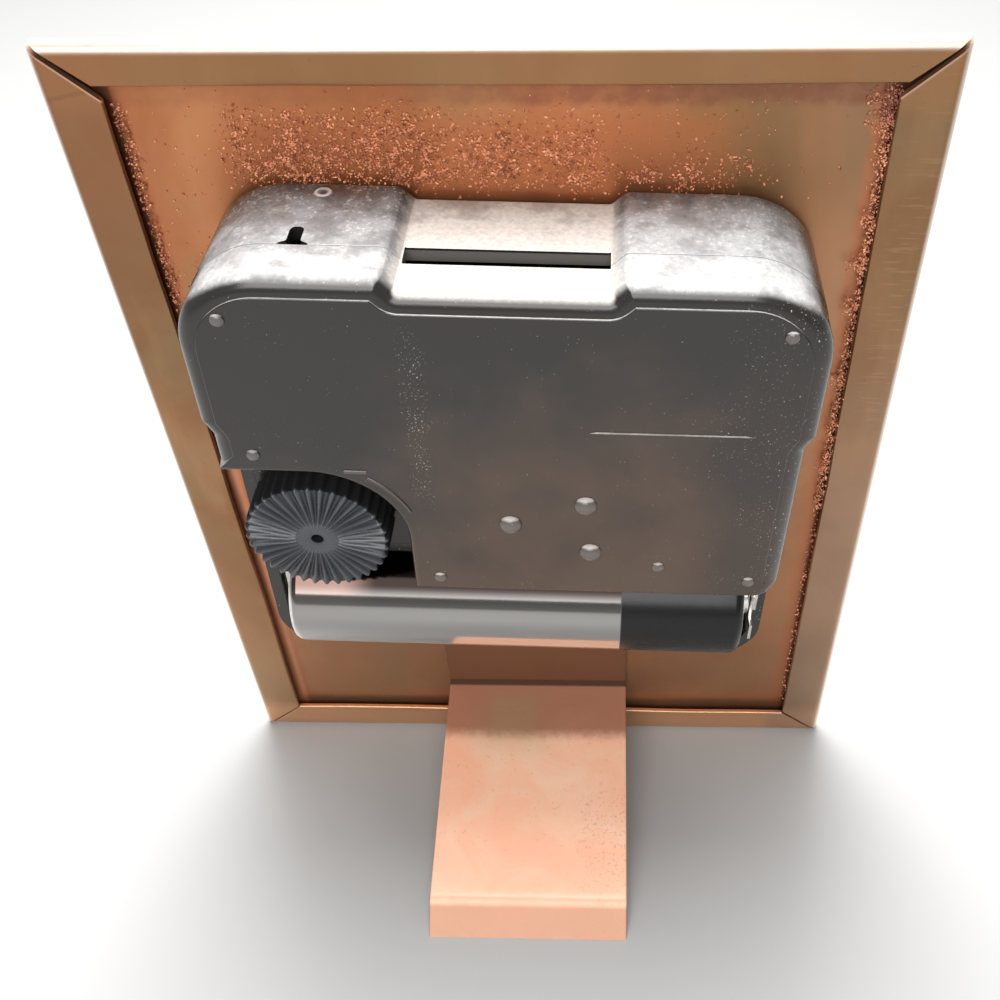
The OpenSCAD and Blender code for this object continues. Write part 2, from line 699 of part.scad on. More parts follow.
// Bush and its fastening
module threaded_bush() {
    color("goldenrod") in_movement() difference() {
        union() {
            rod(shaft_at, bush_r, y_bush, y_floor);
            rod(shaft_at, bush_flange_r, y_floor, y_floor + bush_flange);
        }
        rod(shaft_at, hour_pipe_r + run_fit, y_bush - over, y_floor + bush_flange + over);
    }
}
module hex_nut() {
    color("goldenrod") in_movement() slab(y_nut, y_washer) difference() {
        circle(r = nut_af / sqrt(3), $fn = 6);
        circle(r = bush_r + 0.03);
    }
}
module dial_washer() {
    color("goldenrod") in_movement() slab(y_washer, -sheet) difference() {
        circle(r = washer_r);
        circle(r = bush_r + 0.1);
    }
}
module rubber_washer() {
    color("#222222") in_movement() slab(0, rubber_t) difference() {
        circle(r = rubber_r);
        circle(r = bush_r + 0.1);
    }
}

// Frame plate between the motion work and the train
module middle_plate() {
    edge = post_r + plate_margin;
    low = plate_posts[0] - [edge, plate_margin];
    high = plate_posts[3] + [edge, plate_margin];
    color("whitesmoke") in_movement() slab(y_plate, y_plate + plate_t) difference() {
        polygon(outline([[high[0], low[1], edge], [high[0], high[1], edge], [low[0], high[1], edge],
            [low[0], low[1], edge]]));
        circle(r = pipe_journal_r + run_fit);
        for (p = [idler_at, rotor_at, third_at]) {
            translate(p) circle(r = arbor_r + run_fit);
        }
        for (p = plate_posts) {
            translate(p) circle(r = post_pin_r);
        }
    }
}

// Motion work
pipe_journal_r = 1.3;
seconds_bore_r = seconds_r + run_fit;
module hour_wheel() {
    color("ivory") in_movement() difference() {
        union() {
            slab(y_hour, y_hour + wheel_t) polygon(wheel_teeth(z_hour, hour_module, z_motion_pinion, hour_phase));
            rod(shaft_at, hour_pipe_r, y_hour_hand - 0.5, y_hour + 0.1);
        }
        rod(shaft_at, minute_pipe_r + run_fit, y_hour_hand - over, y_hour + wheel_t + over);
    }
}
module motion_wheel() {
    color("ivory") in_movement() translate([motion_at[0], 0, motion_at[1]]) difference() {
        union() {
            slab(y_motion, y_motion + wheel_t) polygon(wheel_teeth(z_motion, motion_module, z_minute, motion_phase));
            slab(y_hour - pinion_over, y_motion + 0.1)
                polygon(pinion_teeth(z_motion_pinion, hour_module, motion_phase));
        }
        rod([0, 0], 2 * arbor_r + run_fit, y_hour - over, y_motion + 2 * over);
    }
}
module minute_pipe() {
    pinion_low = y_motion - pinion_over;
    pinion_high = y_motion + wheel_t + pinion_over;
    color("gold") in_movement() difference() {
        union() {
            slab(pinion_low, pinion_high) polygon(pinion_teeth(z_minute, motion_module, minute_phase));
            rod(shaft_at, minute_pipe_r, y_minute_hand - 0.5, pinion_low + 0.1);
            rod(shaft_at, pipe_journal_r, pinion_high - 0.1, y_centre + wheel_t);
        }
        rod(shaft_at, seconds_bore_r, y_minute_hand - over, y_centre + wheel_t + over);
    }
}
module setting_pinion() {
    low = y_motion - pinion_over;
    high = y_motion + wheel_t + pinion_over;
    color("ivory") in_movement() translate([knob_x, 0, knob_z]) {
        slab(low, high) polygon(pinion_teeth(z_setting, motion_module, setting_phase));
        rod([0, 0], pivot_r, y_floor - front_wall / 2 + 0.1, low + 0.1);
        rod([0, 0], setting_r, high - 0.1, knob_face - knob_socket);
    }
}
module setting_knob() {
    knob_r = knob_d / 2;
    pitch = 360 / knob_ribs;
    rib_w = 0.5 * pitch / 180 * PI * knob_r / 2;
    color("#161616") in_movement() translate([knob_x, 0, knob_z]) difference() {
        union() {
            // fluted side
            slab(knob_under, knob_face - rib_h) polygon([for (i = [0:knob_ribs - 1]) each [
                polar(knob_r - rib_depth, pitch * (i - 0.34)), polar(knob_r, pitch * (i - 0.18)),
                polar(knob_r, pitch * (i + 0.18)), polar(knob_r - rib_depth, pitch * (i + 0.34))]]);
            // radial ribs on the face
            for (i = [0:knob_ribs - 1]) {
                rotate([0, -pitch * i, 0]) block([hub_r - 0.2, knob_face - rib_h - 0.1, -rib_w / 2],
                    [knob_r - 0.25, knob_face, rib_w / 2]);
            }
            rod([0, 0], hub_r, knob_face - rib_h - 0.1, knob_face - 0.1);
        }
        rod([0, 0], pivot_r + 0.1, knob_face - knob_socket, knob_face + over);
        rod([0, 0], setting_r, knob_under - over, knob_face - knob_socket);
    }
}

// Running train
// A thin wheel with its hub and lightening holes
module train_wheel(teeth, y, bore, hub, hole_ring, hole_r) {
    slab(y, y + wheel_t) difference() {
        polygon(teeth);
        circle(r = bore);
        for (a = [0:90:270]) {
            translate(polar(hole_ring, a + 45)) circle(r = hole_r);
        }
    }
    slab(y, y + wheel_t) difference() {
        circle(r = hub);
        circle(r = bore);
    }
}
module centre_wheel() {
    color("gold") in_movement() train_wheel(wheel_teeth(z_centre, centre_module, z_third_pinion, centre_phase),
        y_centre, pipe_journal_r + run_fit, pipe_journal_r + 1, 4.2, 1.2);
}
module third_wheel() {
    color("ivory") in_movement() translate([third_at[0], 0, third_at[1]]) {
        train_wheel(wheel_teeth(z_third, third_module, z_seconds_pinion, third_phase), y_third, arbor_r / 2,
            1.3, 4, 1.3);
        slab(y_centre - pinion_over, y_third + 0.1)
            polygon(pinion_teeth(z_third_pinion, centre_module, third_phase));
        rod([0, 0], arbor_r, y_plate + 0.1, y_inner + cover_wall / 2 - 0.1);
    }
}
module seconds_wheel() {
    color("ivory") in_movement() difference() {
        union() {
            train_wheel(wheel_teeth(z_seconds, seconds_module, z_idler_pinion, seconds_phase), y_seconds,
                seconds_r, 1.3, 3.9, 1.2);
            slab(y_third - pinion_over, y_seconds + 0.1)
                polygon(pinion_teeth(z_seconds_pinion, third_module, seconds_phase));
        }
        rod(shaft_at, seconds_r, y_third - over, y_seconds + 2 * over);
    }
}
module seconds_arbor() {
    color("silver") in_movement() rod(shaft_at, seconds_r, y_second_hand - boss_h / 2, y_inner + cover_wall / 2 - 0.1);
}
module idler_wheel() {
    color("ivory") in_movement() translate([idler_x, 0, idler_z]) {
        train_wheel(wheel_teeth(z_idler, rotor_module, z_rotor, idler_pinion_phase), y_idler, arbor_r / 2, 1.4,
            3.5, 1);
        slab(y_seconds - pinion_over, y_idler + 0.1)
            polygon(pinion_teeth(z_idler_pinion, seconds_module, idler_pinion_phase));
        rod([0, 0], arbor_r, y_plate + 0.1, y_inner + cover_wall / 2 - 0.1);
    }
}
module rotor_pinion() {
    color("whitesmoke") in_movement() translate([rotor_x, 0, rotor_z]) {
        slab(y_idler - pinion_over, y_magnet) polygon(pinion_teeth(z_rotor, rotor_module, rotor_phase));
        rod([0, 0], arbor_r, y_plate + 0.1, y_inner + cover_wall / 2 - 0.1);
    }
}
module rotor_magnet() {
    color("dimgray") in_movement() slab(y_magnet, y_magnet + magnet_h) translate(rotor_at) difference() {
        circle(r = magnet_r);
        circle(r = arbor_r);
    }
}

// Stepping motor
module stator_arm(z) {
    hull() {
        translate([coil_x, z]) circle(r = pad_r, $fn = 32);
        translate([coil_x + 6, z]) circle(r = arm_r, $fn = 32);
    }
    hull() {
        translate([coil_x + 6, z]) circle(r = arm_r, $fn = 32);
        translate(rotor_at + [-magnet_r - magnet_gap - arm_r, 0]) circle(r = arm_r, $fn = 32);
    }
}
module stator() {
    color("lightsteelblue") in_movement() slab(y_stator, y_stator + stator_t) difference() {
        union() {
            translate(rotor_at) circle(r = stator_ring_r);
            stator_arm(coil_low);
            stator_arm(coil_high);
        }
        translate(rotor_at) circle(r = magnet_r + magnet_gap);
        for (z = [coil_low, coil_high]) {
            translate([coil_x, z]) circle(r = post_pin_r);
        }
    }
}
module coil_core() {
    color("lightsteelblue") in_movement() slab(y_core, y_stator) difference() {
        union() {
            translate([coil_x - core_w / 2, coil_low]) square([core_w, coil_high - coil_low]);
            for (z = [coil_low, coil_high]) {
                translate([coil_x, z]) circle(r = pad_r);
            }
        }
        for (z = [coil_low, coil_high]) {
            translate([coil_x, z]) circle(r = post_pin_r);
        }
    }
}
bobbin_low = coil_low + bobbin_inset;
bobbin_high = coil_high - bobbin_inset;
y_coil = (y_core + y_stator) / 2;
module coil_ring(r, bore, z0, z1) {
    translate([coil_x, y_coil, z0]) difference() {
        cylinder(r = r, h = z1 - z0);
        translate([0, 0, -over]) cylinder(r = bore, h = z1 - z0 + 2 * over);
    }
}
module coil_bobbin() {
    color("whitesmoke") in_movement() difference() {
        union() {
            translate([coil_x, y_coil, bobbin_low]) cylinder(r = bobbin_core_r, h = bobbin_high - bobbin_low);
            for (z = [bobbin_low, bobbin_high - bobbin_flange]) {
                translate([coil_x, y_coil, z]) cylinder(r = bobbin_r, h = bobbin_flange);
            }
        }
        slab(y_core, y_stator) translate([coil_x - core_w / 2, coil_low]) square([core_w, coil_high - coil_low]);
    }
}
module coil_winding() {
    color("chocolate") in_movement() coil_ring(coil_r, bobbin_core_r, bobbin_low + bobbin_flange,
        bobbin_high - bobbin_flange);
}
module circuit_board() {
    color("darkgreen") in_movement() slab(y_board, y_board + board_t) difference() {
        translate(board_low) square(board_high - board_low);
        for (p = board_posts) {
            translate(p) circle(r = post_pin_r);
        }
    }
}
module quartz_crystal() {
    color("silver") in_movement() translate([crystal_at[0], y_board + board_t + crystal_r, crystal_at[1]]) rotate([0, 90, 0])
        cylinder(r = crystal_r, h = crystal_len);
}
module chip_cap() {
    color("black") in_movement() difference() {
        cap(chip_at, chip_r, chip_h, y_board + board_t);
        rod(chip_at, 2 * chip_r, y_board - over, y_board + board_t);
    }
}

// Battery and contacts
// Tail of a contact: up the side wall, then across to its pad on the board
module contact_tail(side, pad_x) {
    face = side * bay_half;
    inside = side * (bay_half - contact_t);
    y_pad = y_board + board_t;
    block([min(face, inside), tail_low, contact_low], [max(face, inside), tail_high, pad_z[1]]);
    block([min(face, inside), tail_low, pad_z[0]], [max(face, inside), y_pad + contact_t, pad_z[1]]);
    block([min(face, pad_x), y_pad, pad_z[0]], [max(face, pad_x), y_pad + contact_t, pad_z[1]]);
}
module positive_contact() {
    color("gainsboro") in_movement() {
        difference() {
            block([-bay_half, y_floor + 1, contact_low], [nub_end, contact_top, contact_high]);
            block([-bay_half - over, y_part + 0.6, cell_z - 1.2], [nub_end + over, contact_top + over, cell_z + 1.6]);
        }
        contact_tail(-1, board_low[0] + pad_len);
    }
}
module negative_contact() {
    path = [[bay_half, y_floor + 1], [bay_half, contact_top], [cell_high, cell_y - 1],
        [cell_high + spring_back, y_floor + spring_foot]];
    color("gainsboro") in_movement() {
        translate([0, 0, contact_low]) linear_extrude(contact_high - contact_low)
            polygon(outline(strip_corners(path, contact_t, [spring_bend_r, spring_bend_r])));
        contact_tail(1, board_high[0] - pad_reach);
    }
}
// A shape turned about the cell's own axis, from its positive shoulder
module along_cell() {
    in_movement() translate([cell_low, cell_y, cell_z]) rotate([0, 90, 0]) children();
}
module battery_can() {
    can_r = cell_r - sleeve_t;
    color("silver") along_cell() rotate_extrude() polygon([[0, -nub_len], [nub_d / 2 - 0.4, -nub_len],
        [nub_d / 2, 0.4 - nub_len], [nub_d / 2, 0], [can_r - 0.8, 0], [can_r, 0.8], [can_r, cell_len - 0.6],
        [can_r - 0.6, cell_len], [end_plate_r, cell_len], [end_plate_r, cell_len - end_plate_t],
        [0, cell_len - end_plate_t]]);
}
module battery_sleeve() {
    can_r = cell_r - sleeve_t;
    color("lightgray") along_cell() rotate_extrude() polygon([[can_r, 1], [cell_r, 1.2],
        [cell_r, cell_len - bare_ring - 0.2], [can_r, cell_len - bare_ring]]);
}
module battery_end_plate() {
    color("silver") along_cell() translate([0, 0, cell_len - end_plate_t]) cylinder(r = end_plate_r, h = end_plate_t);
}

// Hands
// A slim tapered blade that points up, w wide at its root and w / 3 at its tip
module blade(reach, tail, w) {
    polygon([[-w * 0.35, -tail], [w * 0.35, -tail], [w / 2, 0], [w / 2, reach * 0.3], [w / 6, reach],
        [-w / 6, reach], [-w / 2, reach * 0.3], [-w / 2, 0]]);
}
module hand(y, turn, reach, tail, w, boss, bore) {
    in_movement() difference() {
        union() {
            slab(y, y + hand_t) rotate(-turn) union() {
                blade(reach, tail, w);
                circle(r = boss + 0.8);
            }
            rod(shaft_at, boss, y - boss_h / 2, y + hand_t);
        }
        rod(shaft_at, bore, y - over, y + over);
    }
}
module hour_hand() {
    color("#202020") hand(y_hour_hand, hour_at, hour_len, hour_tail, hour_w, hour_pipe_r + hand_rim, hour_pipe_r);
}
module minute_hand() {
    color("#202020") hand(y_minute_hand, minute_at, minute_len, minute_tail, minute_w, minute_pipe_r + hand_rim,
        minute_pipe_r);
}
module second_hand() {
    color("firebrick") in_movement() difference() {
        union() {
            slab(y_second_hand, y_second_hand + hand_t) rotate(-second_at) union() {
                blade(second_len, tail_len, second_w);
                circle(r = second_boss_r + 0.4);
            }
            rod(shaft_at, second_boss_r, y_tip, y_second_hand + hand_t);
        }
        rod(shaft_at, seconds_r, y_second_hand - boss_h / 2, y_second_hand + over);
    }
}

copper_body();
stand_leg();
solder_seam();
front_case();
rear_cover();
threaded_bush();
hex_nut();
dial_washer();
rubber_washer();
middle_plate();
hour_wheel();
motion_wheel();
minute_pipe();
centre_wheel();
third_wheel();
seconds_wheel();
seconds_arbor();
idler_wheel();
rotor_pinion();
rotor_magnet();
stator();
coil_core();
coil_bobbin();
coil_winding();
circuit_board();
quartz_crystal();
chip_cap();
setting_knob();
setting_pinion();
positive_contact();
negative_contact();
battery_can();
battery_sleeve();
battery_end_plate();
hour_hand();
minute_hand();
second_hand();
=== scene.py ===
"""Copper table clock, seen from behind: its finishes, its folded copper, mouldings, knob and cell."""
import json
import math

import bmesh
import bpy
import numpy as np
from mathutils import Matrix, Vector

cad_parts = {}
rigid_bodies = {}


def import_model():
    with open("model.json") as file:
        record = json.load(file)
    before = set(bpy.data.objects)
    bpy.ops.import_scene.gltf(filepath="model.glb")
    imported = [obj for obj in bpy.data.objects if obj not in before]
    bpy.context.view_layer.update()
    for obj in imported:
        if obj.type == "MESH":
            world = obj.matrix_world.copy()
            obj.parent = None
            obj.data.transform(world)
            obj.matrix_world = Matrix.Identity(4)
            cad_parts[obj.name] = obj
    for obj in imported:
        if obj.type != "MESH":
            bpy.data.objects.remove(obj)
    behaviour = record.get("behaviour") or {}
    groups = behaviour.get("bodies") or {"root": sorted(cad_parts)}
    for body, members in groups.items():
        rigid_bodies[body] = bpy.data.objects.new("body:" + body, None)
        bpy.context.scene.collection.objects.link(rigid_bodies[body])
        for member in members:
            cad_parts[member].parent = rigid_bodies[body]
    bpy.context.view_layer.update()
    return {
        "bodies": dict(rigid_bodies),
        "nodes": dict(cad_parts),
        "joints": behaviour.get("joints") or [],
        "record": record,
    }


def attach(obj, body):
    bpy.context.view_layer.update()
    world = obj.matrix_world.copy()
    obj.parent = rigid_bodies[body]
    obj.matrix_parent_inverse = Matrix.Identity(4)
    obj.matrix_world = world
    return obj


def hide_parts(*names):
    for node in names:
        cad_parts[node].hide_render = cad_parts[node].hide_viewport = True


MM = 0.001

# Places of the leaned plate and of the movement in it, in millimetres and degrees
LEAN = 4.0
CASE_TURN = -1.8
STAND_Y = -13.27392
STAND_Z = 0.033948
SHAFT_Z = 57.7
PLATE = (Matrix.Translation((0, STAND_Y, STAND_Z))
         @ Matrix.Rotation(math.radians(-LEAN), 4, "X"))
MOVEMENT = (PLATE @ Matrix.Translation((0, 0, SHAFT_Z))
            @ Matrix.Rotation(math.radians(CASE_TURN), 4, "Y"))

# Copper plate
PLATE_W = 77.2
PLATE_H = 99.4
SHEET = 0.6
HEM_GAP = 0.9
FOLD_R = SHEET + HEM_GAP / 2
HEM_BACK = HEM_GAP + SHEET
SIDE_HEM = 5.2
TOP_HEM = 3.8
BOTTOM_HEM = 4.4
HEM_WAVE = 0.16
HEM_SAG = 0.1
EDGE_WAVE = 0.06
CORNER_GAP = 0.3
OPEN_MITRE = 1.0
TIGHT_MITRE = 0.15
UPPER_SLOPE = (TOP_HEM + 1.2 * OPEN_MITRE - CORNER_GAP) / SIDE_HEM
EAR_R = 0.9
EAR_IN = 0.2
EAR_DROP = 0.5
DIAL_R = 33.0
STAMP_H = 0.35
BUSH_HOLE_R = 4.15

# Leg
LEG_W = 23.7
LEG_T = 0.8
LEG_ROOT = 9.2
TAB_H = 11.0
LIP_LEN = 3.4
LIP_ANGLE = 45.0
LIP_END = np.array((31.0, 2.1337))
LEG_BEND = 0.6
LIP_BEND = 1.4
LEG_EASE = 0.16

# Movement case, measured from the shaft and from the plate's back face
CASE_TOP = 28.0
CASE_BOTTOM = 26.6
HALF_W = 28.0
JOG = 0.8
JOG_Z = 10.0
NOTCH_W = 17.5
NOTCH_D = 1.3
SLOT_AHEAD = 1.8
SLOT_BEHIND = 0.5
WALL = 1.3
Y_CASE = 0.4
Y_FLOOR = 1.3
Y_PART = 10.5
Y_BACK = 15.67
Y_INNER = 14.27
FRONT_EASE = 0.8
BUSH_BORE = 4.03
COVER_BOTTOM = 10.15
COVER_ROUND = 1.8
COVER_STEP = 0.06
RIM_STEP = 0.15
PIN = (16.7, 2.4)
CUT_R = 9.1
BAY_TOP = -10.4
BAY_WALL = 1.0
BAY_HALF = 25.9
ROOF_T = 1.0
WINDOW_X = 17.8
WINDOW_W = 1.2
WINDOW_LEN = 2.6
WINDOW_FOOT = 2.6
RIB_X = 12
RIB_T = 1.0
CONTACT_SLOT_W = 0.5
CONTACT_SLOT_Y = (5.2, 7.2)

# Sunk panel and raised marks on the back of the cover
PANEL_LOW = (5.6 - HALF_W, CASE_TOP - 15.8)
PANEL_HIGH = (-7.0, CASE_TOP - 6.6)
PANEL_R = 0.3
PANEL_SLOPE = 0.8
PANEL_DEPTH = 0.18
PANEL_RISE = 0.02
BUMP_R = 1.1
BUMP_H = 0.75
DOT_R = 0.65
DOT_H = 0.4
ARC_R = (10.35, 10.6)
ARC_SPAN = (124, 156)
ARC_H = 0.12
BAR_LOW = (13.2, 6.4)
BAR_HIGH = (15.3, 6.7)
BAR_H = 0.14

# Train arbors, setting knob and cell
SHAFT = np.array((0.0, 0.0))
IDLER = np.array((-7.2, 2.9))
ROTOR = np.array((-7.8, -3.7))
KNOB = np.array((19.1, -2.9))
KNOB_R = 7.1
KNOB_UNDER = 11.1
KNOB_FACE = 15.92
KNOB_BORE = 1.26
KNOB_EASE = 0.5
KNOB_RIBS = 36
FLUTE = 0.45
RIB = 0.42
CELL_R = 7.0
CELL_Y = 8.4
CELL_Z = -17.7
CELL_LOW = -24.4
CELL_LEN = 48.6
NUB_LEN = 1.2
NUB_R = 2.7
NUB_EDGE = 0.4
CAN_EDGE = 0.8
FOOT_EDGE = 0.6
END_R = 5.0
END_SUNK = 0.3
SLEEVE_T = 0.15
CELL_STEPS = 96

# Camera in millimetres and degrees, lamps in metres and watts
LENS = 40.974
SENSOR = 36
SHIFT = (-0.0766, -0.0507)
EYE = (-9.57, 86.15, 132.2)
EYE_TURN = (50.298, 0.845, -178.519)
LAMPS = (
    {"name": "overhead", "at": (0.02, -0.2, 0.62), "look": (0, 0, 0.06),
     "size": (0.34, 0.5), "power": 9.5},
    {"name": "fill", "at": (0.06, 0.55, 0.4), "look": (0, 0, 0.05),
     "size": (0.5, 0.4), "power": 3.7},
)
FLOOR_HALF = 9000
FLOOR_NEAR = (0.4, 0.4, 0.4)
FLOOR_FAR = (0.95, 0.95, 0.95)


# Plain geometry in the plane
def unit(v):
    return v / np.linalg.norm(v)


def left(v):
    return np.array((-v[1], v[0]))


def bulge_at(a, b, c):
    """1 where the outline turns left at b, else -1."""
    u = b - a
    w = c - b
    return 1 if u[0] * w[1] - u[1] * w[0] > 0 else -1


def moved_corner(a, b, c, d):
    """Corner b after both its edges move d to their left."""
    n1 = left(unit(b - a))
    n2 = left(unit(c - b))
    return b + d * (n1 + n2) / (1 + n1 @ n2)


def fillet(a, b, c, r, steps):
    """Arc of radius r that rounds the corner b between a and c."""
    u = unit(a - b)
    w = unit(c - b)
    half = math.acos(np.clip(u @ w, -1, 1)) / 2
    centre = b + unit(u + w) * r / math.sin(half)
    start = b + u * r / math.tan(half) - centre
    turn = (math.pi - 2 * half) * bulge_at(a, b, c)
    angles = math.atan2(start[1], start[0]) + turn * np.linspace(0, 1, steps + 1)
    return centre + r * np.column_stack((np.cos(angles), np.sin(angles)))


def arc_steps(corner):
    return 16 if corner[2] > 3 else 6


def rounded_loop(corners, inset=0.0):
    """Outline through corners (x, z, radius), counter-clockwise, moved inwards."""
    points = [np.array(c[:2], float) for c in corners]
    n = len(points)
    trios = [(points[i - 1], points[i], points[(i + 1) % n]) for i in range(n)]
    moved = [moved_corner(*trio, inset) for trio in trios]
    arcs = []
    for i, corner in enumerate(corners):
        r = max(0.04, corner[2] - bulge_at(*trios[i]) * inset)
        arcs.append(fillet(moved[i - 1], moved[i], moved[(i + 1) % n], r, arc_steps(corner)))
    return np.concatenate(arcs)


def rectangle(x0, z0, x1, z1, *more):
    """Corners, counter-clockwise, each with what more it carries, such as a radius."""
    return [(x0, z0, *more), (x1, z0, *more), (x1, z1, *more), (x0, z1, *more)]


def round_angles(steps):
    return np.linspace(0, 2 * math.pi, steps, endpoint=False)


def circle(at, r, steps):
    angles = round_angles(steps)
    return np.asarray(at) + r * np.column_stack((np.cos(angles), np.sin(angles)))


def ripple(s, seed, waves=5, longest=90.0):
    """Gentle irregular wave along a length, between about -1 and 1."""
    rng = np.random.default_rng(seed)
    total = np.zeros_like(s, dtype=float)
    for k in range(1, waves + 1):
        total += np.sin(2 * math.pi * k * s / longest + rng.uniform(0, 2 * math.pi)) / k ** 0.7
    return total / 2.2


# Meshes
def mesh_object(name, points, faces, place):
    """Object with its place in its mesh. Points are millimetres in the frame `place`."""
    turn = np.array(place.to_3x3())
    world = (np.asarray(points, float) @ turn.T + np.array(place.translation)) * MM
    data = bpy.data.meshes.new(name)
    data.from_pydata(world.tolist(), [], [list(map(int, f)) for f in faces])
    shape = bmesh.new()
    shape.from_mesh(data)
    bmesh.ops.recalc_face_normals(shape, faces=shape.faces)
    shape.to_mesh(data)
    shape.free()
    piece = bpy.data.objects.new(name, data)
    bpy.context.scene.collection.objects.link(piece)
    return piece


def grid_faces(rows, columns):
    """Quads between rows of points. The columns close on themselves."""
    faces = []
    for i in range(rows - 1):
        for k in range(columns):
            after = (k + 1) % columns
            faces.append((i * columns + k, i * columns + after,
                          (i + 1) * columns + after, (i + 1) * columns + k))
    return faces


def lofted(name, rings, place):
    """Closed solid through rings of equal count, each an array of points, with flat ends."""
    n = len(rings[0])
    faces = grid_faces(len(rings), n)
    faces.append(range(n - 1, -1, -1))
    faces.append(range((len(rings) - 1) * n, len(rings) * n))
    return mesh_object(name, np.concatenate(rings), faces, place)


def turned_rings(section, steps):
    """Rings about the local Z axis, one for each (radius, height)."""
    angles = round_angles(steps)
    return [np.column_stack((r * np.cos(angles), r * np.sin(angles), np.full(steps, h)))
            for r, h in section]


def hoop(name, section, place, steps):
    """Ring turned about the local Z axis from a closed section of (radius, height)."""
    rings = turned_rings(section, steps)
    faces = grid_faces(len(rings), steps)
    last = (len(rings) - 1) * steps
    faces += [(last + k, last + (k + 1) % steps, (k + 1) % steps, k) for k in range(steps)]
    return mesh_object(name, np.concatenate(rings), faces, place)


def at_depth(loop, y):
    """Outline in X and Z as points at the depth y, or at a depth for each point."""
    return np.column_stack((loop[:, 0], np.broadcast_to(y, len(loop)), loop[:, 1]))


def prism(name, loop, y0, y1, place):
    return lofted(name, [at_depth(loop, y0), at_depth(loop, y1)], place)


def rod(name, at, r, y0, y1, place, steps=40):
    return prism(name, circle(at, r, steps), y0, y1, place)


def block(name, low, high, place):
    loop = np.array(rectangle(low[0], low[2], high[0], high[2]))
    return prism(name, loop, low[1], high[1], place)


def turned(name, profile, place, steps):
    """Solid turned about the local Z axis from a profile (radius, height) that starts and ends on it."""
    rings = turned_rings(profile[1:-1], steps)
    points = np.concatenate(rings + [[(0, 0, profile[0][1])], [(0, 0, profile[-1][1])]])
    faces = grid_faces(len(rings), steps)
    bottom = len(points) - 2
    last = (len(rings) - 1) * steps
    for k in range(steps):
        after = (k + 1) % steps
        faces.append((bottom, after, k))
        faces.append((bottom + 1, last + k, last + after))
    return mesh_object(name, points, faces, place)


def applied(piece):
    """Replaces the piece's mesh by what its modifiers make of it, and removes them."""
    graph = bpy.context.evaluated_depsgraph_get()
    result = bpy.data.meshes.new_from_object(piece.evaluated_get(graph))
    piece.modifiers.clear()
    piece.data = result
    return piece


def combine(piece, tools, operation):
    """Joins tools to the piece, or cuts them out of it, and removes them."""
    for tool in tools:
        step = piece.modifiers.new("combine", "BOOLEAN")
        step.operation = operation
        step.solver = "MANIFOLD"
        step.object = tool
        applied(piece)
    for tool in tools:
        bpy.data.objects.remove(tool)
    return piece


def finished(piece, finish, slot, body, *nodes, sharp=32):
    """Gives the piece its finish and its place in the frame, and hides the solids it stands for."""
    piece.data.shade_smooth()
    piece.data.set_sharp_from_angle(angle=math.radians(sharp))
    # large flat faces keep their own normals
    weights = piece.modifiers.new("weights", "WEIGHTED_NORMAL")
    weights.keep_sharp = True
    data = applied(piece).data
    data.materials.clear()
    data.materials.append(finish)
    for face in data.polygons:
        face.material_index = 0
    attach(piece, body)
    if nodes:
        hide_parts(*nodes)
    return piece


# Shader maths
class Value:
    """A shader socket. Arithmetic on it adds Math nodes."""

    def __init__(self, tree, socket):
        self.tree = tree
        self.socket = socket

    def math(self, operation, *others, flip=False):
        values = [self, *others]
        if flip:
            values.reverse()
        return add_node(self.tree, "ShaderNodeMath", dict(enumerate(values)), operation=operation)

    def __add__(self, other):
        return self.math("ADD", other)

    __radd__ = __add__

    def __sub__(self, other):
        return self.math("SUBTRACT", other)

    def __rsub__(self, other):
        return self.math("SUBTRACT", other, flip=True)

    def __mul__(self, other):
        return self.math("MULTIPLY", other)

    __rmul__ = __mul__

    def __pow__(self, other):
        return self.math("POWER", other)

    def at_most(self, other):
        return self.math("MINIMUM", other)

    def at_least(self, other):
        return self.math("MAXIMUM", other)

    def size(self):
        return self.math("ABSOLUTE")


def feed(tree, socket, value):
    """Links a Value to a socket, or sets the socket to plain numbers."""
    if isinstance(value, Value):
        tree.links.new(value.socket, socket)
    else:
        socket.default_value = value


def add_node(tree, kind, values, out=0, **settings):
    """Any node by its type: settings first, then the values or links of its sockets."""
    node = tree.nodes.new(kind)
    for name, value in settings.items():
        setattr(node, name, value)
    for socket, value in values.items():
        feed(tree, node.inputs[socket], value)
    return Value(tree, node.outputs[out])


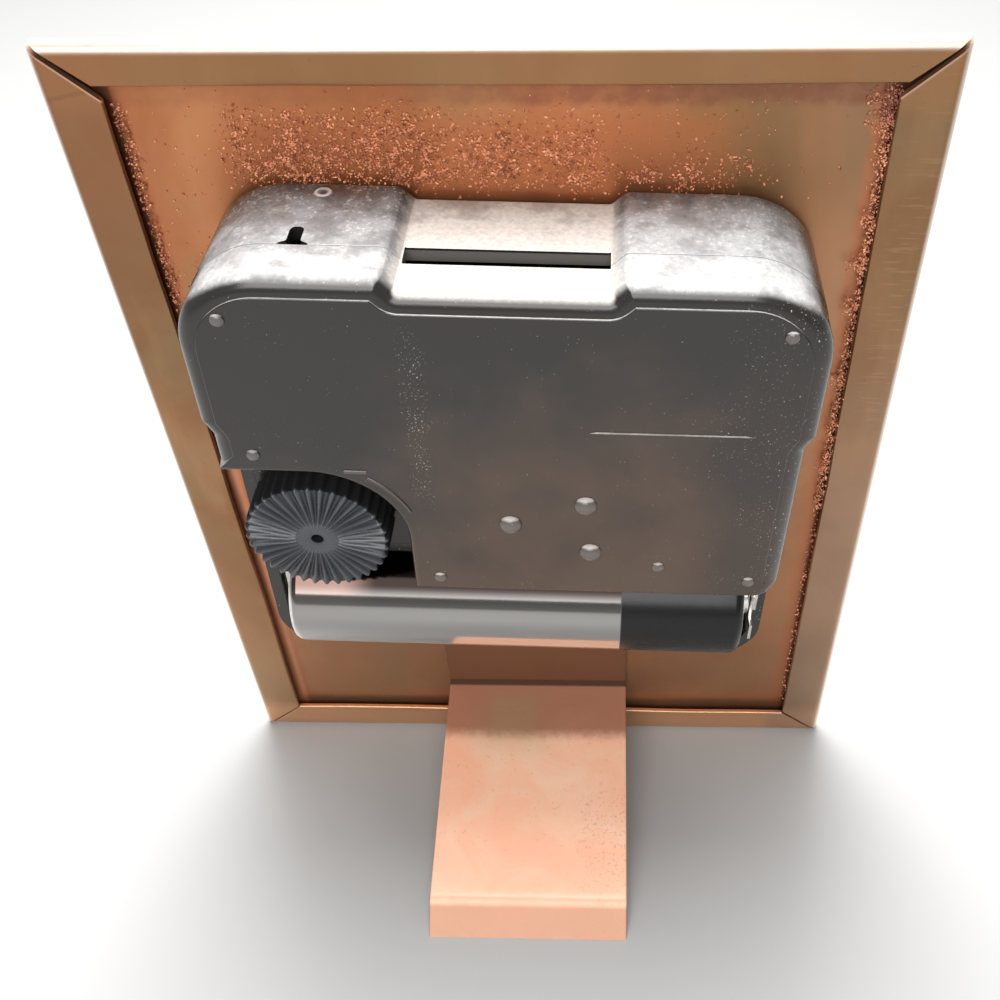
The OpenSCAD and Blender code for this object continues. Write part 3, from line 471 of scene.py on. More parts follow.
class Finish:
    """One material with a Principled shader and the nodes that vary it."""

    def __init__(self, name, colour, roughness, metallic=0.0, **plain):
        self.material = bpy.data.materials.new(name)
        self.material.use_nodes = True
        self.tree = self.material.node_tree
        self.shader = self.tree.nodes["Principled BSDF"]
        self.colour = colour
        self.set("Base Color", (*colour, 1))
        self.set("Roughness", roughness)
        self.set("Metallic", metallic)
        for socket, value in plain.items():
            self.set(socket.replace("_", " "), value)

    def set(self, socket, value):
        feed(self.tree, self.shader.inputs[socket], value)

    def node(self, kind, values, out=0, **settings):
        return add_node(self.tree, "ShaderNode" + kind, values, out, **settings)

    def place(self, frame, stretch=(1, 1, 1)):
        """Object coordinates as millimetres in a frame of the clock."""
        back = frame.inverted()
        coords = self.node("TexCoord", {}, "Object")
        local = self.node("Mapping", {"Vector": coords, "Location": back.translation,
                                      "Rotation": back.to_euler("XYZ"), "Scale": (1000, 1000, 1000)})
        if stretch == (1, 1, 1):
            return local
        return self.node("Mapping", {"Vector": local, "Scale": stretch})

    def axes(self, place):
        split = self.tree.nodes.new("ShaderNodeSeparateXYZ")
        feed(self.tree, split.inputs[0], place)
        return [Value(self.tree, socket) for socket in split.outputs]

    def noise(self, place, scale, detail=4.0, roughness=0.55, distortion=0.0):
        return self.node("TexNoise", {"Vector": place, "Scale": scale, "Detail": detail,
                                      "Roughness": roughness, "Distortion": distortion}, "Fac")

    def ramp(self, value, low, high):
        """0 at low, 1 at high, smooth between."""
        return self.node("MapRange", {"Value": value, "From Min": low, "From Max": high},
                         interpolation_type="SMOOTHSTEP")

    def band(self, value, low, high, soft):
        """1 between low and high, with soft edges."""
        rise = self.ramp(value, low - soft, low + soft)
        fall = self.ramp(value, high - soft, high + soft)
        return rise * (1 - fall)

    def mix(self, factor, first, second):
        """Colour between two colours."""
        first, second = [(*c, 1) if isinstance(c, tuple) else c for c in (first, second)]
        return self.node("Mix", {0: factor, 6: first, 7: second}, 2, data_type="RGBA")

    def stain(self, mask, colour):
        """Lays a colour over the finish where the mask is 1."""
        self.colour = self.mix(mask, self.colour, colour)
        self.set("Base Color", self.colour)

    def tools(self):
        return self.ramp, self.band, self.mix, self.stain

    def bump(self, height, depth):
        """Small relief: height times depth in millimetres."""
        relief = self.node("Bump", {"Height": height, "Strength": 1.0, "Distance": depth * MM})
        self.set("Normal", relief)

    def facing_up(self):
        """1 where the surface looks up, 0 where it is upright or looks down."""
        return self.axes(self.node("NewGeometry", {}, "Normal"))[2].at_least(0.0)


class NodeGroup:
    """Geometry Nodes that put a shape on every point of a mesh, with named inputs for its sizes."""

    def __init__(self, name, **inputs):
        self.tree = bpy.data.node_groups.new(name, "GeometryNodeTree")
        self.ids = {}
        face = self.tree.interface
        face.new_socket("points", in_out="INPUT", socket_type="NodeSocketGeometry")
        for label, kind in inputs.items():
            socket = face.new_socket(label, in_out="INPUT", socket_type="NodeSocket" + kind)
            self.ids[label] = socket.identifier
        face.new_socket("shapes", in_out="OUTPUT", socket_type="NodeSocketGeometry")
        self.start = self.tree.nodes.new("NodeGroupInput")

    def input(self, label):
        return Value(self.tree, self.start.outputs[label])

    def add(self, kind, values, out=0, **settings):
        return add_node(self.tree, kind, values, out, **settings)

    def strewn(self, shape, turn, scale, material):
        """Ends the group: the shape on every point, made real, with its finish."""
        points = self.input("points")
        copies = self.add("GeometryNodeInstanceOnPoints",
                          {"Points": points, "Instance": shape, "Rotation": turn, "Scale": scale})
        real = self.add("GeometryNodeRealizeInstances", {"Geometry": copies})
        painted = self.add("GeometryNodeSetMaterial", {"Geometry": real, "Material": material})
        feed(self.tree, self.tree.nodes.new("NodeGroupOutput").inputs[0], painted)
        return self

    def applied_to(self, piece, **values):
        """Turns the points of the piece into a plain mesh of shapes."""
        step = piece.modifiers.new("shapes", "NODES")
        step.node_group = self.tree
        for label, value in values.items():
            step[self.ids[label]] = value
        return applied(piece)


def ball(group):
    return group.add("GeometryNodeMeshUVSphere", {"Segments": 24, "Rings": 12, "Radius": 0.5})


def rounded_block(group):
    cube = group.add("GeometryNodeMeshCube", {"Size": (1, 1, 1)})
    return group.add("GeometryNodeSubdivisionSurface", {"Mesh": cube, "Level": 2, "Edge Crease": 0.8})


def repeat_group(name, shape):
    """A shape on every point, at one size, turned by the point's own angles."""
    group = NodeGroup(name, size="Vector")
    turn = group.add("GeometryNodeInputNamedAttribute", {"Name": "turn"}, data_type="FLOAT_VECTOR")
    return group.strewn(shape(group), turn, group.input("size"), None)


def repeated(name, group, spots, frame, turns, size):
    """Copies of the group's shape at spots in a frame, each turned about the frame's Y axis."""
    piece = mesh_object(name, spots, [], frame)
    angles = [(frame.to_3x3() @ Matrix.Rotation(turn, 3, "Y")).to_euler() for turn in turns]
    stored = piece.data.attributes.new("turn", "FLOAT_VECTOR", "POINT")
    stored.data.foreach_set("vector", np.ravel(angles))
    return group.applied_to(piece, size=[length * MM for length in size])


def copper_finish():
    """Tarnished sheet: red-brown panel, greyer hems, stains under the filings and along the hems;
    painted shade along the hems and in a crease, painted light on the lower hem, painted highlights on
    the folds and cut ends.
    """
    finish = Finish("tarnished copper", (0.45, 0.2, 0.1), 0.42, 0.85)
    ramp, band, mix, stain = finish.tools()
    place = finish.place(PLATE)
    x, y, z = finish.axes(place)
    cloud = finish.noise(place, 0.05, 4, 0.55, 0.5)
    fine = finish.noise(place, 0.5, 5, 0.65)
    streak = finish.noise(finish.place(PLATE, (0.3, 1, 0.05)), 1.0, 4, 0.6)
    patch = finish.noise(finish.place(PLATE, (1, 1, 0.5)), 0.08, 3, 0.5, 0.8)
    panel = mix(ramp(cloud, 0.36, 0.66), (0.42, 0.155, 0.062), (0.55, 0.235, 0.105))
    panel = mix(ramp(patch, 0.5, 0.68) * 0.6, panel, (0.38, 0.23, 0.105))
    flange = mix(ramp(cloud, 0.34, 0.66), (0.27, 0.13, 0.058), (0.37, 0.2, 0.1))
    flange = mix(ramp(patch, 0.46, 0.64) * 0.55, flange, (0.3, 0.21, 0.11))
    on_flange = ramp(y, 0.3, 0.8)
    on_back = ramp(y, -0.4, -0.15) * (1 - on_flange)
    finish.colour = mix(on_flange, panel, flange)
    stain(ramp(streak, 0.5, 0.78) * 0.35, (0.46, 0.27, 0.14))
    # redder upper hem; painted light on the lower hem: paler low down, where it lies in shade
    stain(on_flange * ramp(z, 92, 95) * 0.6, (0.46, 0.23, 0.1))
    stain(on_flange * ramp(z, 7, 3) * 0.8, (0.75, 0.42, 0.24))
    # grey-green bloom in the upper corner of the panel at -X, a paler patch below it
    bloom = ramp(x + cloud * 12, 2, -20) * ramp(z, 76, 88) * on_back
    stain(bloom * (0.6 + ramp(patch, 0.3, 0.6) * 0.35), (0.23, 0.13, 0.055))
    stain(on_back * ramp(x, -26, -32) * band(z, 55, 80, 8) * 0.5, (0.52, 0.29, 0.16))
    # stain under the filings
    drift = band(x + fine * 8, -16, 28, 4) * band(z + fine * 5, 85.5, 95, 2)
    stain(drift * on_back * 0.75, (0.46, 0.155, 0.062))
    # duller panel low down and towards -X
    dull = ramp(z, 42, 18).at_least(ramp(x + cloud * 10, -12, -28)) * on_back
    stain(dull * 0.55, (0.37, 0.215, 0.125))
    # red-brown strip where the side hems meet the panel; painted shade as a dark line along the hems,
    # left out low down at +X
    side = (PLATE_W / 2 - SIDE_HEM) - x.size()
    stain((1 - ramp(side - fine * 1.6, 0.4, 1.2)) * on_back * 0.6, (0.5, 0.18, 0.085))
    hem_line_shade = (1 - ramp(side - fine * 0.6, -0.3, 0.1)) * on_back
    lighter = ramp(x, 0, 10) * ramp(z, 66, 50)
    stain(hem_line_shade * (1 - lighter) * 0.6, (0.17, 0.05, 0.028))
    # painted light: a pale strip beside the hem low down at +X, in place of the hem's cast shade
    stain((1 - ramp(side, 0.6, 1.4)) * on_back * lighter * 0.7, (0.8, 0.38, 0.22))
    # purple band under the upper hem
    under = ramp((PLATE_H - TOP_HEM - 1.3) - z - fine * 1.6, 0.8, -0.4)
    under = under * (0.2 + ramp(x, 14, -6) * 0.45) * (0.6 + ramp(fine, 0.35, 0.6) * 0.4)
    stain(under * on_back, (0.22, 0.075, 0.05))
    # rubbed marks across the hem at -X
    rub = ramp(finish.noise(finish.place(PLATE, (0.35, 1, 4.5)), 1.0, 2, 0.5), 0.57, 0.66)
    rub = rub * ramp(x, -34.2, -35.6) * band(z, 58, 97, 5) * on_flange
    stain(rub * 0.4, (0.56, 0.3, 0.18))
    # painted shade of a crease across the hem at +X
    crease_shade = ramp((z + x * 0.25 - 104.3 + fine * 0.8).size(), 0.3, 0.1)
    stain(crease_shade * ramp(x, 33, 34) * on_flange * 0.45, (0.16, 0.06, 0.03))
    # dark specks all over
    stain(ramp(finish.noise(place, 2.6, 2, 0.5), 0.68, 0.78) * 0.4, (0.2, 0.08, 0.045))
    # side hems darker towards the top, redder there and paler low down at +X, greyer at -X
    high = on_flange * ramp(z, 45, 85)
    stain(high * 0.4, (0.17, 0.09, 0.043))
    stain(high * ramp(x, 30, 33) * ramp(z, 76, 88) * 0.35, (0.36, 0.15, 0.075))
    stain(on_flange * ramp(x, 30, 33) * ramp(z, 45, 20) * 0.2, (0.55, 0.32, 0.18))
    stain(on_flange * ramp(x, -30, -33) * ramp(z, 80, 40) * 0.5, (0.4, 0.275, 0.2))
    # painted highlight along the cut ends of the side hems at the open mitres
    end = (PLATE_H - CORNER_GAP) - (PLATE_W / 2 - x.size()) * UPPER_SLOPE - z
    stain(on_flange * band(end, 0, 0.2, 0.15) * 0.6, (0.8, 0.52, 0.38))
    # painted highlight along the outer edges of the folds
    edge = ramp(z, PLATE_H - 1.1, PLATE_H - 0.4).at_least(ramp(x.size(), 37.9, 38.4))
    stain(edge * 0.8, (0.88, 0.76, 0.66))
    finish.set("Roughness", 0.28 + fine * 0.18 + cloud * 0.1)
    finish.bump(fine * 0.5 + finish.noise(place, 0.12, 2) * 2.0, 0.04)
    return finish.material


def filings_finish():
    """Fresh copper crumbs, some of them dull, painted lighter in the line at -X against the hem's shade,
    and dark at its top.
    """
    finish = Finish("copper filings", (0.62, 0.26, 0.15), 0.5, 0.4)
    ramp, _, mix, stain = finish.tools()
    place = finish.place(PLATE)
    x, _, z = finish.axes(place)
    dull = finish.noise(place, 1.6, 2, 0.6)
    finish.colour = mix(ramp(dull, 0.35, 0.62), (0.36, 0.12, 0.055), (0.8, 0.36, 0.2))
    # painted light: the line at -X is brighter, to lift the shade of the hem
    strip = ramp(x, -31, -32.4)
    stain(strip * 0.65, (0.95, 0.46, 0.27))
    stain(strip * ramp(z, 90.5, 93) * 0.75, (0.3, 0.1, 0.075))
    return finish.material


def leg_finish():
    """Paler copper of the leg, with painted shade and reflection at its root, yellowish and dark spots,
    and painted shade on its tab, bend and lip.
    """
    finish = Finish("pale copper", (0.7, 0.4, 0.28), 0.4, 0.1)
    ramp, band, mix, stain = finish.tools()
    place = finish.place(PLATE)
    x, y, z = finish.axes(place)
    cloud = finish.noise(place, 0.13, 4, 0.55, 0.8)
    fine = finish.noise(place, 1.1, 5, 0.65)
    finish.colour = mix(ramp(cloud, 0.35, 0.68), (1.0, 0.52, 0.335), (1.0, 0.62, 0.435))
    yellow = band(x, -2, 8, 3) * band(y, 3, 10, 2.5)
    stain(yellow * ramp(cloud, 0.3, 0.6) * 0.6, (0.66, 0.46, 0.25))
    # painted shade and reflection of the case: brown at the root
    root = 1 - ramp(y + fine * 1.2, 7.6, 9.9)
    stain(root * 0.85, (0.31, 0.115, 0.062))
    smudge = band(x + fine * 2, 1, 7, 1.5) * band(y, 2.5, 8, 1.5)
    stain(smudge * 0.5, (0.36, 0.23, 0.12))
    stain(ramp(finish.noise(place, 1.9, 2, 0.5), 0.64, 0.72) * 0.2, (0.42, 0.18, 0.1))
    # pits in the lower corner at -X
    pitted = ramp(finish.noise(place, 2.6, 2, 0.5), 0.58, 0.66)
    stain(pitted * (ramp(x, -4, -9) * ramp(y, 12, 20)) * 0.4, (0.4, 0.16, 0.1))
    # painted shade: dark tab, and a darker line in the bend below it
    stain((1 - ramp(y, 0.9, 1.2)) * 0.95, (0.112, 0.042, 0.015))
    crease_shade = (1 - ramp(y, 1.1, 1.4)) * (1 - ramp(z, 10.3, 10.8))
    stain(crease_shade * 0.95, (0.06, 0.02, 0.007))
    # darker towards the lower end; painted shade on the bend, to tone down its highlight, and on the
    # lip, which faces away from the light
    stain(ramp(y, 19, 27) * 0.45, (0.82, 0.44, 0.3))
    bend = band(y, 27.9, 28.9, 0.5)
    stain(bend * 0.6, (0.86, 0.44, 0.3))
    stain(ramp(y, 28.8, 29.6) * 0.85, (0.5, 0.25, 0.155))
    finish.set("Roughness", 0.4 + fine * 0.2 + crease_shade * 0.4 - bend * 0.15)
    finish.bump(fine * 0.4 + cloud * 1.6, 0.05)
    return finish.material


def case_finish(name, dust, back_reflection):
    """Black moulded plastic: a painted brown reflection on the back, grey dust that thickens towards the
    back and also paints highlights on upper faces and roundings, painted light in the slot, and pale
    crumbs.
    """
    finish = Finish(name, (0.016, 0.015, 0.014), 0.3)
    ramp, band, mix, stain = finish.tools()
    place = finish.place(MOVEMENT)
    x, y, z = finish.axes(place)
    fine = finish.noise(place, 2.2, 5, 0.7)
    cloud = finish.noise(place, 0.09, 3, 0.5, 0.3)
    drift = finish.noise(place, 0.35, 3, 0.6)
    up = ramp(finish.facing_up(), 0.5, 0.78)
    # how thick the dust lies on what faces up, and in the joint of the halves; on upper faces and the
    # upper roundings this pale dust also stands for painted highlights
    recess = band(x, -9.2, 9.2, 0.5)
    # painted highlight along the front edge, laid on as dust
    edge = 1 - ramp(y, 0.3, 0.8)
    layer = 0.06 + ramp(y + drift * 5, 2, 12) * 0.75 + recess * 0.75 + ramp(x, 4, -14) * 0.25
    rubbed = 0.65 + ramp(drift, 0.34, 0.62) * 0.4
    dust_and_highlight = (layer * rubbed + edge * 0.4).at_most(1.0) * (0.75 + ramp(fine, 0.3, 0.65) * 0.25)
    dust_and_highlight = dust_and_highlight * up * dust
    # pale line in the joint: dust, and painted light on the step face, which lies in shade
    seam = band(y, Y_PART - 0.15, Y_PART + 0.15, 0.05) * ramp(z, CASE_TOP - 3.5, CASE_TOP - 2)
    dust_and_highlight = dust_and_highlight.at_least(seam * 0.6)
    # painted reflection, brown, on the lower back; paler raised marks; painted light inside the slot
    lower = ramp(z * -1 + x * -0.4 + cloud * 40, -2, 34)
    lower = lower * ramp(y, Y_BACK - 0.9, Y_BACK - 0.2) * (0.4 + ramp(x, -23, -15) * 0.6)
    finish.colour = mix(lower * back_reflection, (0.02, 0.0178, 0.0165), (0.095, 0.058, 0.038))
    stain(ramp(y, Y_BACK + 0.05, Y_BACK + 0.2) * 0.7, (0.15, 0.136, 0.127))
    # painted light: the inside of the slot is grey rather than black
    slot = band(x, -9, 9, 0.2) * band(y, Y_PART - 2.0, Y_PART + 0.7, 0.1)
    stain(slot * (1 - ramp(z, CASE_TOP - 1.6, CASE_TOP - 1.45)), (0.15, 0.142, 0.13))
    ash = mix(ramp(y, Y_PART, Y_PART + 2), (0.41, 0.42, 0.43), (0.52, 0.52, 0.52))
    stain(dust_and_highlight, mix(recess, ash, (0.66, 0.61, 0.565)))
    # crumbs: a few everywhere, more towards -X, in a trail beside the knob and on what faces up
    grain = finish.noise(place, 5.5, 1, 0.4)
    crumbs = ramp(finish.noise(place, 2.8, 3, 0.6), 0.58, 0.62) * ramp(drift, 0.42, 0.55)
    speck = ramp(grain, 0.77, 0.79) * ramp(drift, 0.46, 0.52) * 0.5
    aside = ramp(x, -16, -23) * ramp(drift, 0.4, 0.5)
    speck = speck + ramp(grain, 0.7, 0.73) * aside * 0.35
    trail = band(x + drift * 3, 8.6, 10.4, 0.5) * band(z, CASE_TOP - 24, CASE_TOP - 6, 3)
    speck = speck + ramp(grain, 0.65, 0.69) * trail * 0.4
    speck = speck + (ramp(grain, 0.68, 0.72) * 0.25 + crumbs * 0.4) * up
    pin = (x - PIN[0]) * (x - PIN[0]) + (y - PIN[1]) * (y - PIN[1])
    speck = speck.at_least(band(pin, 0.2, 0.6, 0.2) * up * 0.8)
    stain(speck, (0.66, 0.59, 0.53))
    finish.set("Roughness", 0.18 + dust_and_highlight * 0.25 + fine * 0.06)
    finish.bump(finish.noise(place, 5.0, 2), 0.006)
    return finish.material


def knob_finish():
    """Black plastic with a bluish face, a painted highlight along the rib crests, dull and with painted
    shade down its side.
    """
    finish = Finish("knob plastic", (0.014, 0.014, 0.016), 0.3)
    ramp, _, mix, stain = finish.tools()
    place = finish.place(MOVEMENT)
    depth = finish.axes(place)[1]
    face = ramp(depth, KNOB_FACE - 0.8, KNOB_FACE - 0.4)
    crest = ramp(depth, KNOB_FACE - 0.38, KNOB_FACE - 0.03)
    fine = finish.noise(place, 2.0, 4, 0.6)
    # painted highlight: the rib crests are paler and bluish
    ribbed = mix(crest, (0.016, 0.017, 0.021), (0.06, 0.062, 0.072))
    # painted shade: the side is nearly black
    finish.colour = (0.001, 0.001, 0.001)
    stain(face, ribbed)
    finish.set("Roughness", 0.85 - face * 0.62 + fine * 0.12)
    return finish.material


def sleeve_finish():
    """Foil sleeve of the cell: a white rim, silver with painted reflections for most of its length, then
    black.
    """
    finish = Finish("cell sleeve", (0.7, 0.7, 0.7), 0.2, 0.9, Specular_IOR_Level=0.3)
    ramp, _, mix, stain = finish.tools()
    x, _, z = finish.axes(finish.place(MOVEMENT))
    fine = finish.noise(finish.place(MOVEMENT, (0.1, 1, 1)), 1.5, 4, 0.6)
    silver = ramp(x, -11.4, -11.2)
    rim = ramp(x, 23.75, 23.8)
    # painted reflections on the foil: rosy and dark along the top, brighter towards the bottom
    top_reflection = mix(ramp(x, 14.5, 19), (0.014, 0.01, 0.009), (0.1, 0.063, 0.054))
    foil = mix(ramp(z, CELL_Z + 1, CELL_Z - 4.5), (0.33, 0.32, 0.31), (0.95, 0.93, 0.9))
    foil = mix(ramp(z, CELL_Z + 2.5, CELL_Z + 5), foil, top_reflection)
    finish.colour = (0.007, 0.0065, 0.0065)
    stain(silver, foil)
    stain(rim, (0.75, 0.74, 0.72))
    finish.set("Metallic", silver * (1 - rim) * 0.97)
    finish.set("Roughness", 0.24 - silver * 0.15 + rim * 0.3 + fine * 0.06)
    return finish.material


def grained_finish(name, colour, roughness, metallic, scale):
    """Finish of an inner piece: faintly cloudy, unevenly polished."""
    finish = Finish(name, colour, roughness, metallic)
    cloud = finish.noise(finish.place(MOVEMENT), scale, 4, 0.6)
    worn = tuple(0.75 * c for c in colour)
    lighter = tuple(min(1.0, 1.12 * c) for c in colour)
    finish.colour = worn
    finish.stain(finish.ramp(cloud, 0.3, 0.68), lighter)
    finish.set("Roughness", roughness - 0.08 + cloud * 0.16)
    return finish.material


def plain_finishes():
    """Finishes of the pieces that keep their solids, by the record's slot."""
    table = {
        "solder": ((0.5, 0.48, 0.45), 0.35, 0.9, 1.2),
        "brass": ((0.75, 0.52, 0.2), 0.28, 1.0, 0.8),
        "rubber": ((0.02, 0.02, 0.02), 0.8, 0.0, 2.0),
        "frame_plastic": ((0.75, 0.74, 0.7), 0.45, 0.0, 0.4),
        "wheel_plastic": ((0.8, 0.78, 0.7), 0.4, 0.0, 0.6),
        "pipe_brass": ((0.75, 0.52, 0.2), 0.25, 1.0, 0.8),
        "arbor_steel": ((0.6, 0.6, 0.6), 0.22, 1.0, 1.5),
        "magnet": ((0.08, 0.08, 0.085), 0.5, 0.3, 2.5),
        "lamination": ((0.45, 0.46, 0.48), 0.35, 1.0, 1.0),
        "winding": ((0.55, 0.22, 0.09), 0.35, 0.9, 3.0),
        "board": ((0.02, 0.12, 0.04), 0.45, 0.0, 1.0),
        "chip_resin": ((0.012, 0.012, 0.012), 0.35, 0.0, 1.5),
        "contact_nickel": ((0.72, 0.7, 0.66), 0.2, 1.0, 0.7),
        "cell_metal": ((0.75, 0.74, 0.72), 0.2, 1.0, 0.5),
        "hand_black": ((0.014, 0.014, 0.014), 0.35, 0.0, 0.5),
        "hand_red": ((0.5, 0.02, 0.015), 0.35, 0.0, 0.5),
    }
    return {slot: grained_finish(slot.replace("_", " "), *values) for slot, values in table.items()}


# Copper plate
def hem_profile(width):
    """Section of a hem as (distance from the outer edge, depth), from the panel round to the panel."""
    swing = np.radians(np.linspace(-90, 90, 19))
    outside = np.column_stack((FOLD_R - FOLD_R * np.cos(swing), HEM_GAP / 2 + FOLD_R * np.sin(swing)))
    flat = np.linspace(FOLD_R, width - 0.2, 7)[1:-1]
    back = np.column_stack((flat, np.full(len(flat), HEM_BACK)))
    ease = 0.18
    round_end = np.radians(np.linspace(90, -90, 9))
    tip = np.column_stack((width - ease + ease * np.cos(round_end),
                           HEM_GAP + SHEET / 2 + (SHEET / 2) * np.sin(round_end)))
    under = np.column_stack((flat[::-1], np.full(len(flat), HEM_GAP)))
    bore = HEM_GAP / 2
    inside = np.column_stack((FOLD_R - bore * np.cos(swing), bore + bore * np.sin(swing)))[::-1]
    return np.concatenate((outside, back, tip, under, inside))


def hem(name, width, start, end, to_plate, seed, stations=121):
    """Folded hem between two mitres. start and end give the ends for a distance from the outer edge."""
    profile = hem_profile(width)
    reach = np.clip((profile[:, 0] - FOLD_R) / (width - FOLD_R), 0, 1)
    on_flange = reach * (profile[:, 1] > HEM_GAP - 0.05)
    rings = []
    for t in np.linspace(0, 1, stations):
        low = start(profile[:, 0])
        along = low + (end(profile[:, 0]) - low) * t
        depth = profile[:, 1] + on_flange * (HEM_WAVE * ripple(along, seed) - HEM_SAG)
        inwards = profile[:, 0] + on_flange * EDGE_WAVE * ripple(along, seed + 50, 9)
        rings.append(to_plate(along, inwards, depth))
    return lofted(name, rings, PLATE)


def copper_plate():
    half = PLATE_W / 2
    side_slope = BOTTOM_HEM / SIDE_HEM
    top_slope = (TOP_HEM + OPEN_MITRE - CORNER_GAP) / TOP_HEM

    def lower(a):
        return TIGHT_MITRE + a * side_slope

    def upper(a):
        return PLATE_H - CORNER_GAP - a * UPPER_SLOPE

    def bottom_end(a):
        return half - TIGHT_MITRE - a / side_slope

    def top_end(a):
        return half - CORNER_GAP - a * top_slope

    hems = [
        hem("hem", BOTTOM_HEM, lambda a: -bottom_end(a), bottom_end,
            lambda s, a, y: np.column_stack((s, y, a)), 1),
        hem("hem", TOP_HEM, lambda a: -top_end(a), top_end,
            lambda s, a, y: np.column_stack((s, y, PLATE_H - a)), 2),
        hem("hem", SIDE_HEM, lower, upper, lambda s, a, y: np.column_stack((half - a, y, s)), 3),
        hem("hem", SIDE_HEM, lower, upper, lambda s, a, y: np.column_stack((a - half, y, s)), 4),
    ]
    ear_x = half - EAR_R - EAR_IN
    ear_z = PLATE_H - EAR_R - EAR_DROP
    ears = [rod("ear", (x, ear_z), EAR_R, -SHEET, 0, PLATE) for x in (-ear_x, ear_x)]
    panel = block("copper_plate", (FOLD_R - half, -SHEET, FOLD_R),
                  (half - FOLD_R, 0, PLATE_H - FOLD_R), PLATE)
    combine(panel, ears + hems + dial_stamps(), "UNION")
    hole = rod("hole", (0, SHAFT_Z), BUSH_HOLE_R, -2, 2, PLATE, 64)
    return combine(panel, [hole], "DIFFERENCE")


def dial_stamps():
    """Raised ring and hour bars on the dial side."""
    middle = PLATE @ Matrix.Translation((0, 0, SHAFT_Z))
    bead = [(-0.3, -0.1), (-0.3, 0.2), (-0.2, 0.32), (0, STAMP_H), (0.2, 0.32), (0.3, 0.2), (0.3, -0.1)]
    section = [(DIAL_R + r, SHEET + h) for r, h in bead]
    stamps = [hoop("ring", section, middle @ Matrix.Rotation(math.pi / 2, 4, "X"), 128)]
    group = repeat_group("hour bars", rounded_block)
    for hours, width, length in (((0, 3, 6, 9), 1.6, 5), ((1, 2, 4, 5, 7, 8, 10, 11), 1.0, 3)):
        turns = [math.radians(30 * hour) for hour in hours]
        reach = DIAL_R - 1.5 - length / 2
        spots = [(reach * math.sin(t), -SHEET, reach * math.cos(t)) for t in turns]
        stamps.append(repeated("bars", group, spots, middle, turns, (width, 2 * STAMP_H, length)))
    return stamps


# Leg
def leg_path():
    """Middle line of the strip in Y and Z, with its bends, from the tab's top past the floor."""
    lip = np.array((math.cos(math.radians(LIP_ANGLE)), -math.sin(math.radians(LIP_ANGLE))))
    face = [np.array((0, LEG_ROOT + TAB_H)), np.array((0, LEG_ROOT)), LIP_END - LIP_LEN * lip,
            LIP_END + 2 * lip]
    aside = LEG_T / 2
    middle = [face[0] + np.array((aside, 0)), moved_corner(face[0], face[1], face[2], aside),
              moved_corner(face[1], face[2], face[3], aside), face[3] + aside * left(lip)]
    arcs = [fillet(middle[i - 1], middle[i], middle[i + 1], bend + aside, 12)
            for i, bend in ((1, LEG_BEND), (2, LIP_BEND))]
    legs = [middle[0] + (arcs[0][0] - middle[0]) * t for t in np.linspace(0, 1, 12)[:-1]]
    span = [arcs[0][-1] + (arcs[1][0] - arcs[0][-1]) * t for t in np.linspace(0, 1, 40)[1:-1]]
    return np.array(legs + list(arcs[0]) + span + list(arcs[1]) + [middle[-1]])


def stand_leg():
    path = leg_path()
    section = rounded_loop(rectangle(-LEG_W / 2, -LEG_T / 2, LEG_W / 2, LEG_T / 2, LEG_EASE))
    rings = []
    for i, at in enumerate(path):
        ahead = unit(path[min(i + 1, len(path) - 1)] - path[max(i - 1, 0)])
        across = left(ahead)
        point = at + section[:, 1:2] * across
        rings.append(np.column_stack((section[:, 0], point)))
    leg = lofted("stand_leg", rings, PLATE)
    shape = bmesh.new()
    shape.from_mesh(leg.data)
    cut = bmesh.ops.bisect_plane(shape, geom=shape.verts[:] + shape.edges[:] + shape.faces[:],
                                 plane_co=(0, 0, 0), plane_no=(0, 0, -1), clear_outer=True)
    rim = [e for e in cut["geom_cut"] if isinstance(e, bmesh.types.BMEdge)]
    bmesh.ops.contextual_create(shape, geom=rim)
    shape.to_mesh(leg.data)
    shape.free()
    return leg


# Movement case
def case_corners():
    top = NOTCH_W / 2
    return [(HALF_W - JOG, -CASE_BOTTOM, 5), (HALF_W - JOG, JOG_Z, 0.6), (HALF_W, JOG_Z + 2 * JOG, 0.6),
            (HALF_W, CASE_TOP, 8), (top + NOTCH_D, CASE_TOP, 1), (top, CASE_TOP - NOTCH_D, 0.6),
            (-top, CASE_TOP - NOTCH_D, 0.6), (-top - NOTCH_D, CASE_TOP, 1), (-HALF_W, CASE_TOP, 8),
            (-HALF_W, JOG_Z + 2 * JOG, 0.6), (JOG - HALF_W, JOG_Z, 0.6), (JOG - HALF_W, -CASE_BOTTOM, 5)]


